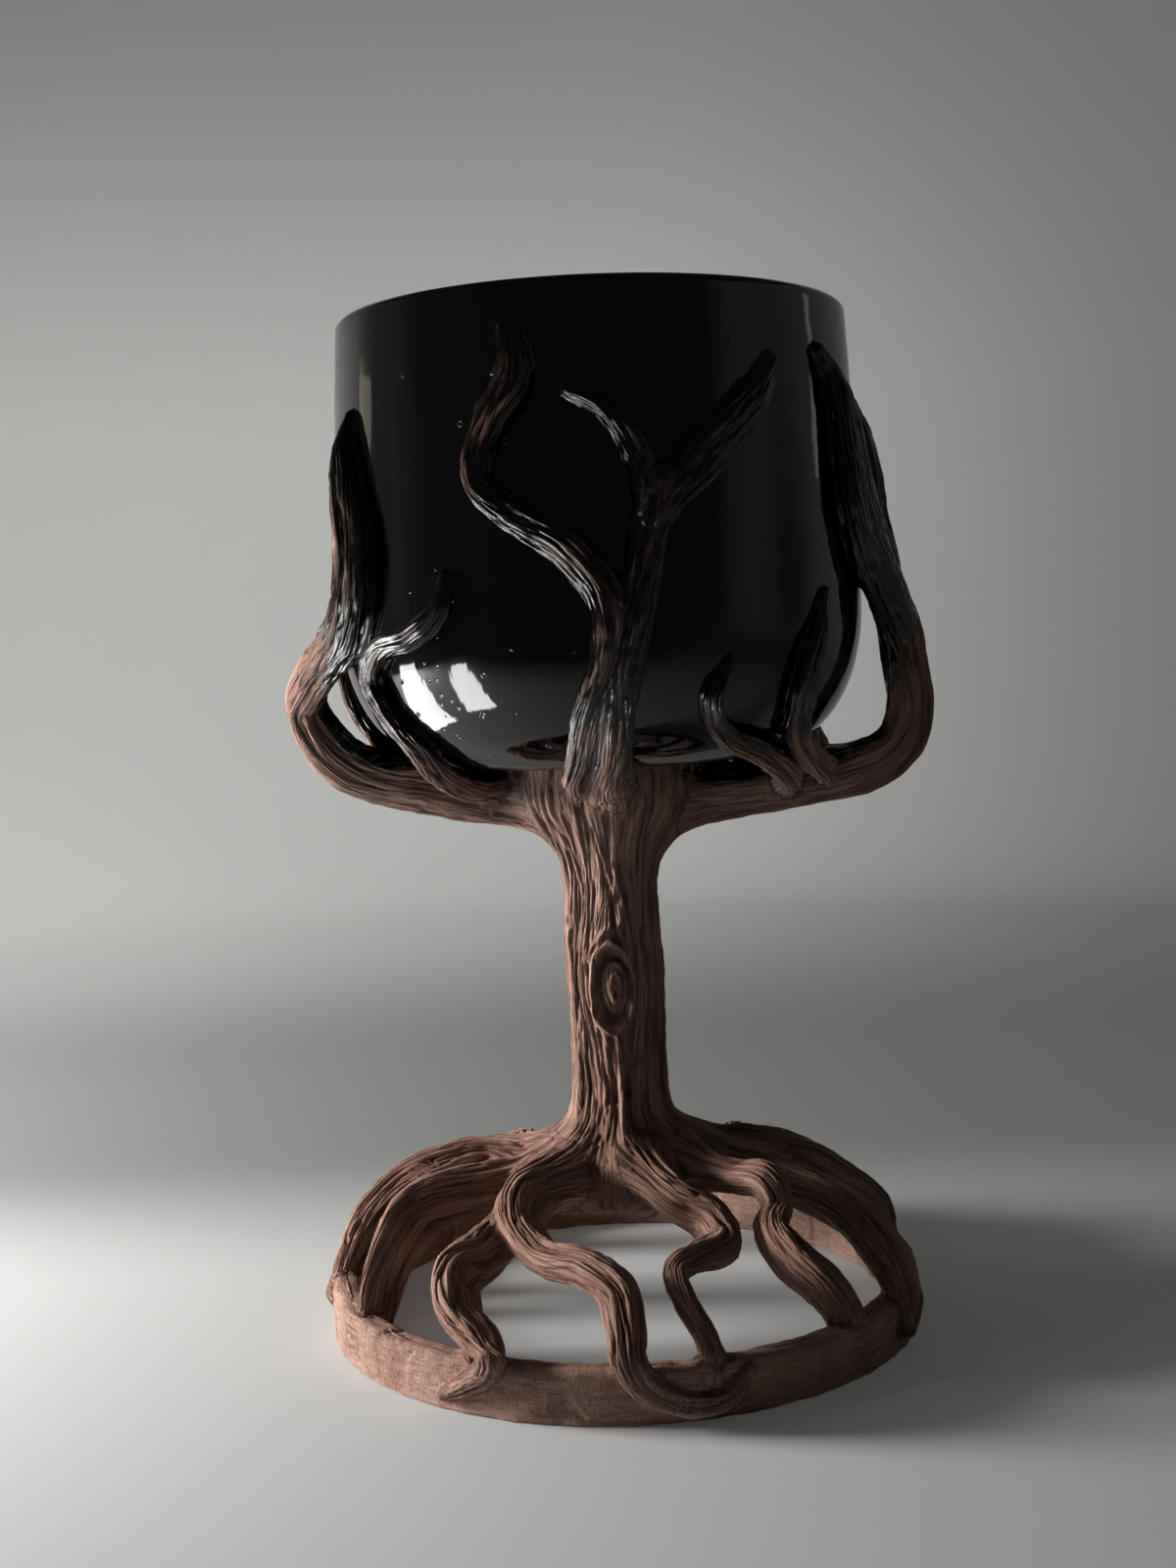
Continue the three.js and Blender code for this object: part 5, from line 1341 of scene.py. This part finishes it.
def pale_laminate():
    """Matte laminate without any sheen for the plain grey surround, with light and shade painted into its
    colour.
    """
    paint, tree, place = new_finish("matte_pale_laminate")
    side, depth, rise = add(tree, "SeparateXYZ", {0: place}).outputs
    ahead = add(tree, "VectorMath", {0: place, 1: (-0.3, -1, 0)}, operation="DOT_PRODUCT").outputs["Value"]

    # Each shade comes in from the first distance in metres to the second, all of them painted light and shade
    # on the grey: a painted shadow band on the table behind the chalice, painted light further back, painted
    # shade up the wall and to the right, and painted shade in front, dark so that the glaze mirrors it dark
    painted_light_and_shade = (
        (depth, 0.02, 0.13, "#8e8e8c"), (depth, 0.25, 0.65, "#eeeeeb"), (rise, 0.2, 0.6, "#c0c1be"),
        (side, 0, 0.45, "#9c9d9a"), (ahead, 0.14, 0.45, "#242424"),
    )
    shade = linear("#cececc")
    for way, start, end, code in painted_light_and_shade:
        reach = {"Value": way, "From Min": start, "From Max": end}
        share = add(tree, "MapRange", reach, interpolation_type="SMOOTHSTEP")
        shade = add(tree, "Mix", {"Factor": share, 6: shade, 7: linear(code)}, data_type="RGBA").outputs[2]

    # The glow is there for the camera and in mirror images, and lights nothing
    ray = add(tree, "LightPath").outputs
    seen = add(tree, "Math", {0: ray["Is Camera Ray"], 1: ray["Is Glossy Ray"]}, operation="MAXIMUM")
    glow = add(tree, "Math", {0: seen, 1: GLOW}, operation="MULTIPLY")
    laminate = {"Base Color": shade, "Roughness": 0.9, "Specular IOR Level": 0, "Emission Strength": glow}
    add(tree, "OutputMaterial", {"Surface": add(tree, "BsdfPrincipled", laminate)})
    return paint


def studio():
    """A pale table that curves up into a wall all round, open at the top, in weak light from the room."""
    turn = np.linspace(0, math.pi / 2, 24)[1:]
    flat = np.linspace(0.02, TABLE_REACH, 12)
    wall = TABLE_BEND + np.linspace(TABLE_WALL / 4, TABLE_WALL, 4)
    radius = [flat, TABLE_REACH + TABLE_BEND * np.sin(turn), np.full(4, TABLE_REACH + TABLE_BEND)]
    height = [np.zeros(12), TABLE_BEND - TABLE_BEND * np.cos(turn), wall]
    azimuth = np.linspace(-math.pi, math.pi, 128, endpoint=False)[None]
    points = spin(np.concatenate(radius)[:, None], np.concatenate(height)[:, None], azimuth)
    middle = np.arange(azimuth.size)[::-1].tolist()
    table = smooth_piece("pale_table", points.reshape(-1, 3), walls(points) + [middle])
    table.data.materials.append(pale_laminate())

    world = bpy.data.worlds.new("studio")
    bpy.context.scene.world = world
    world.use_nodes = True
    air = world.node_tree.nodes["Background"].inputs
    air["Color"].default_value = linear("#e8eaec")
    air["Strength"].default_value = AIR_STRENGTH


def set_down(thing, right, up, back, place):
    """Turns a thing to these axes and puts it in its place."""
    thing.matrix_world = Matrix([[*parts] for parts in zip(right, up, back, place)] + [[0, 0, 0, 1]])


def softbox(name, azimuth, elevation, distance, size, power, aim=(0, 0, 0.1), colour="#ffffff", *, seen):
    """A soft area lamp on a circle round a spot, facing it. The camera doesn't see the lamp itself.
    One seen on matte has no mirror image in the glaze, and one seen in gloss is only a mirror image."""
    lamp = bpy.data.lights.new(name, "AREA")
    lamp.shape = "RECTANGLE"
    lamp.color = linear(colour)[:3]
    lamp.size, lamp.size_y = size
    lamp.energy = power
    body = bring_in(name, lamp)
    rise = math.radians(elevation)
    place = polar(azimuth, distance * math.cos(rise), distance * math.sin(rise)) + np.array(aim)
    back = unit(place - np.array(aim))
    side = unit(np.cross([0, 0, 1], back))
    set_down(body, side, np.cross(back, side), back, place)
    body.visible_camera = False
    body.visible_glossy = seen != "on matte"
    body.visible_diffuse = seen != "in gloss"


# The photograph's height and the lens's focal length in its pixels, the height of the sensor in mm,
# the camera's tilt down and to the side in radians, and its place in metres
PHOTO_HEIGHT = 1600
PHOTO_FOCAL = 1900
SENSOR = 36
PITCH = 0.0768
ROLL = -0.0395
CAMERA_PLACE = (-0.00393, -0.3844, 0.1405)


def stand_camera():
    """The camera at the photograph's place: close, level with the cup's belly, and looking down a little."""
    lens = bpy.data.cameras.new("camera")
    lens.lens, lens.sensor_width = SENSOR * PHOTO_FOCAL / PHOTO_HEIGHT, SENSOR
    lens.clip_start = 0.01
    camera = bring_in("camera", lens)
    lean = np.array([0, math.sin(PITCH), math.cos(PITCH)])
    right = math.sin(ROLL) * lean + [math.cos(ROLL), 0, 0]
    up = math.cos(ROLL) * lean - [math.sin(ROLL), 0, 0]
    set_down(camera, right, up, np.cross(right, up), CAMERA_PLACE)
    bpy.context.scene.camera = camera


stand_camera()
studio()

# The lamps on the clay, the table and the wall behind, and then the bright things that the glaze mirrors
softbox("key_left", -94, 5, 0.5, (0.12, 0.16), 5.2, seen="on matte")
softbox("table_pool", -120, 60, 0.25, (0.12, 0.12), 0.1, aim=(-0.2, -0.06, 0), seen="on matte")
softbox("backdrop", 0, 16, 0.6, (0.3, 0.2), 1.1, aim=(-0.4, 0.8, 0.12), seen="on matte")
softbox("lit_table_back", -90, -89.8, 0.3, (0.09, 0.42), 1.6, polar(-93, 0.36, 0.303), seen="in gloss")
softbox("lit_table_front", -64, -89.8, 0.3, (0.05, 0.27), 0.6, polar(-62, 0.3, 0.303), seen="in gloss")
softbox("strip_left", -114, 10, 0.7, (0.1, 0.2), 0.05, colour="#fff2cf", seen="in gloss")
softbox("strip_right", 107, 18, 0.7, (0.04, 0.16), 0.01, seen="in gloss")
softbox("glint_top", -36, 20, 0.7, (0.06, 0.04), 0.006, colour="#ffdcb4", seen="in gloss")
bpy.context.scene.view_settings.view_transform = "Standard"

bodies = wind_coils()
cup_body = bodies[-1]
gloss = black_glaze()
bare = stoneware("bare_stoneware")
dipped = stoneware("dipped_stoneware")
# The ring's clay is painted paler: painted light on the ring's front, which the lamp at the side barely
# reaches
pressed = stoneware("pressed_stoneware", nicks=1, pale=0.16)
bark = scoring_tree({"lines": line_tree(), "strands": strand_tree()})
corners = {"Lowest": cad_box[0], "Highest": cad_box[1]}
tree_bark = {"Spacing": 1.0, "Depth": 2.1 * MM, "Lumps": 0.3 * MM, **corners}
knot_bark = {"Spacing": 0.5, "Depth": 0.5 * MM, "Lumps": 0.1 * MM, **corners}

carry(throw_cup(gloss), "cup")
for body in bodies[:-1]:
    on_tree = body.name in LIMBS or body.name in BRANCHES
    piece = roll_piece(body, bodies, cup_body)
    finish = pressed if body.name == "foot_ring" else dipped if on_tree else bare
    grow(piece, bark, {"Finish": finish, **tree_bark})
    carry(piece, body.name)
knot = press_knot()
grow(knot, bark, {"Finish": bare, **knot_bark})
carry(knot, "trunk_knot")
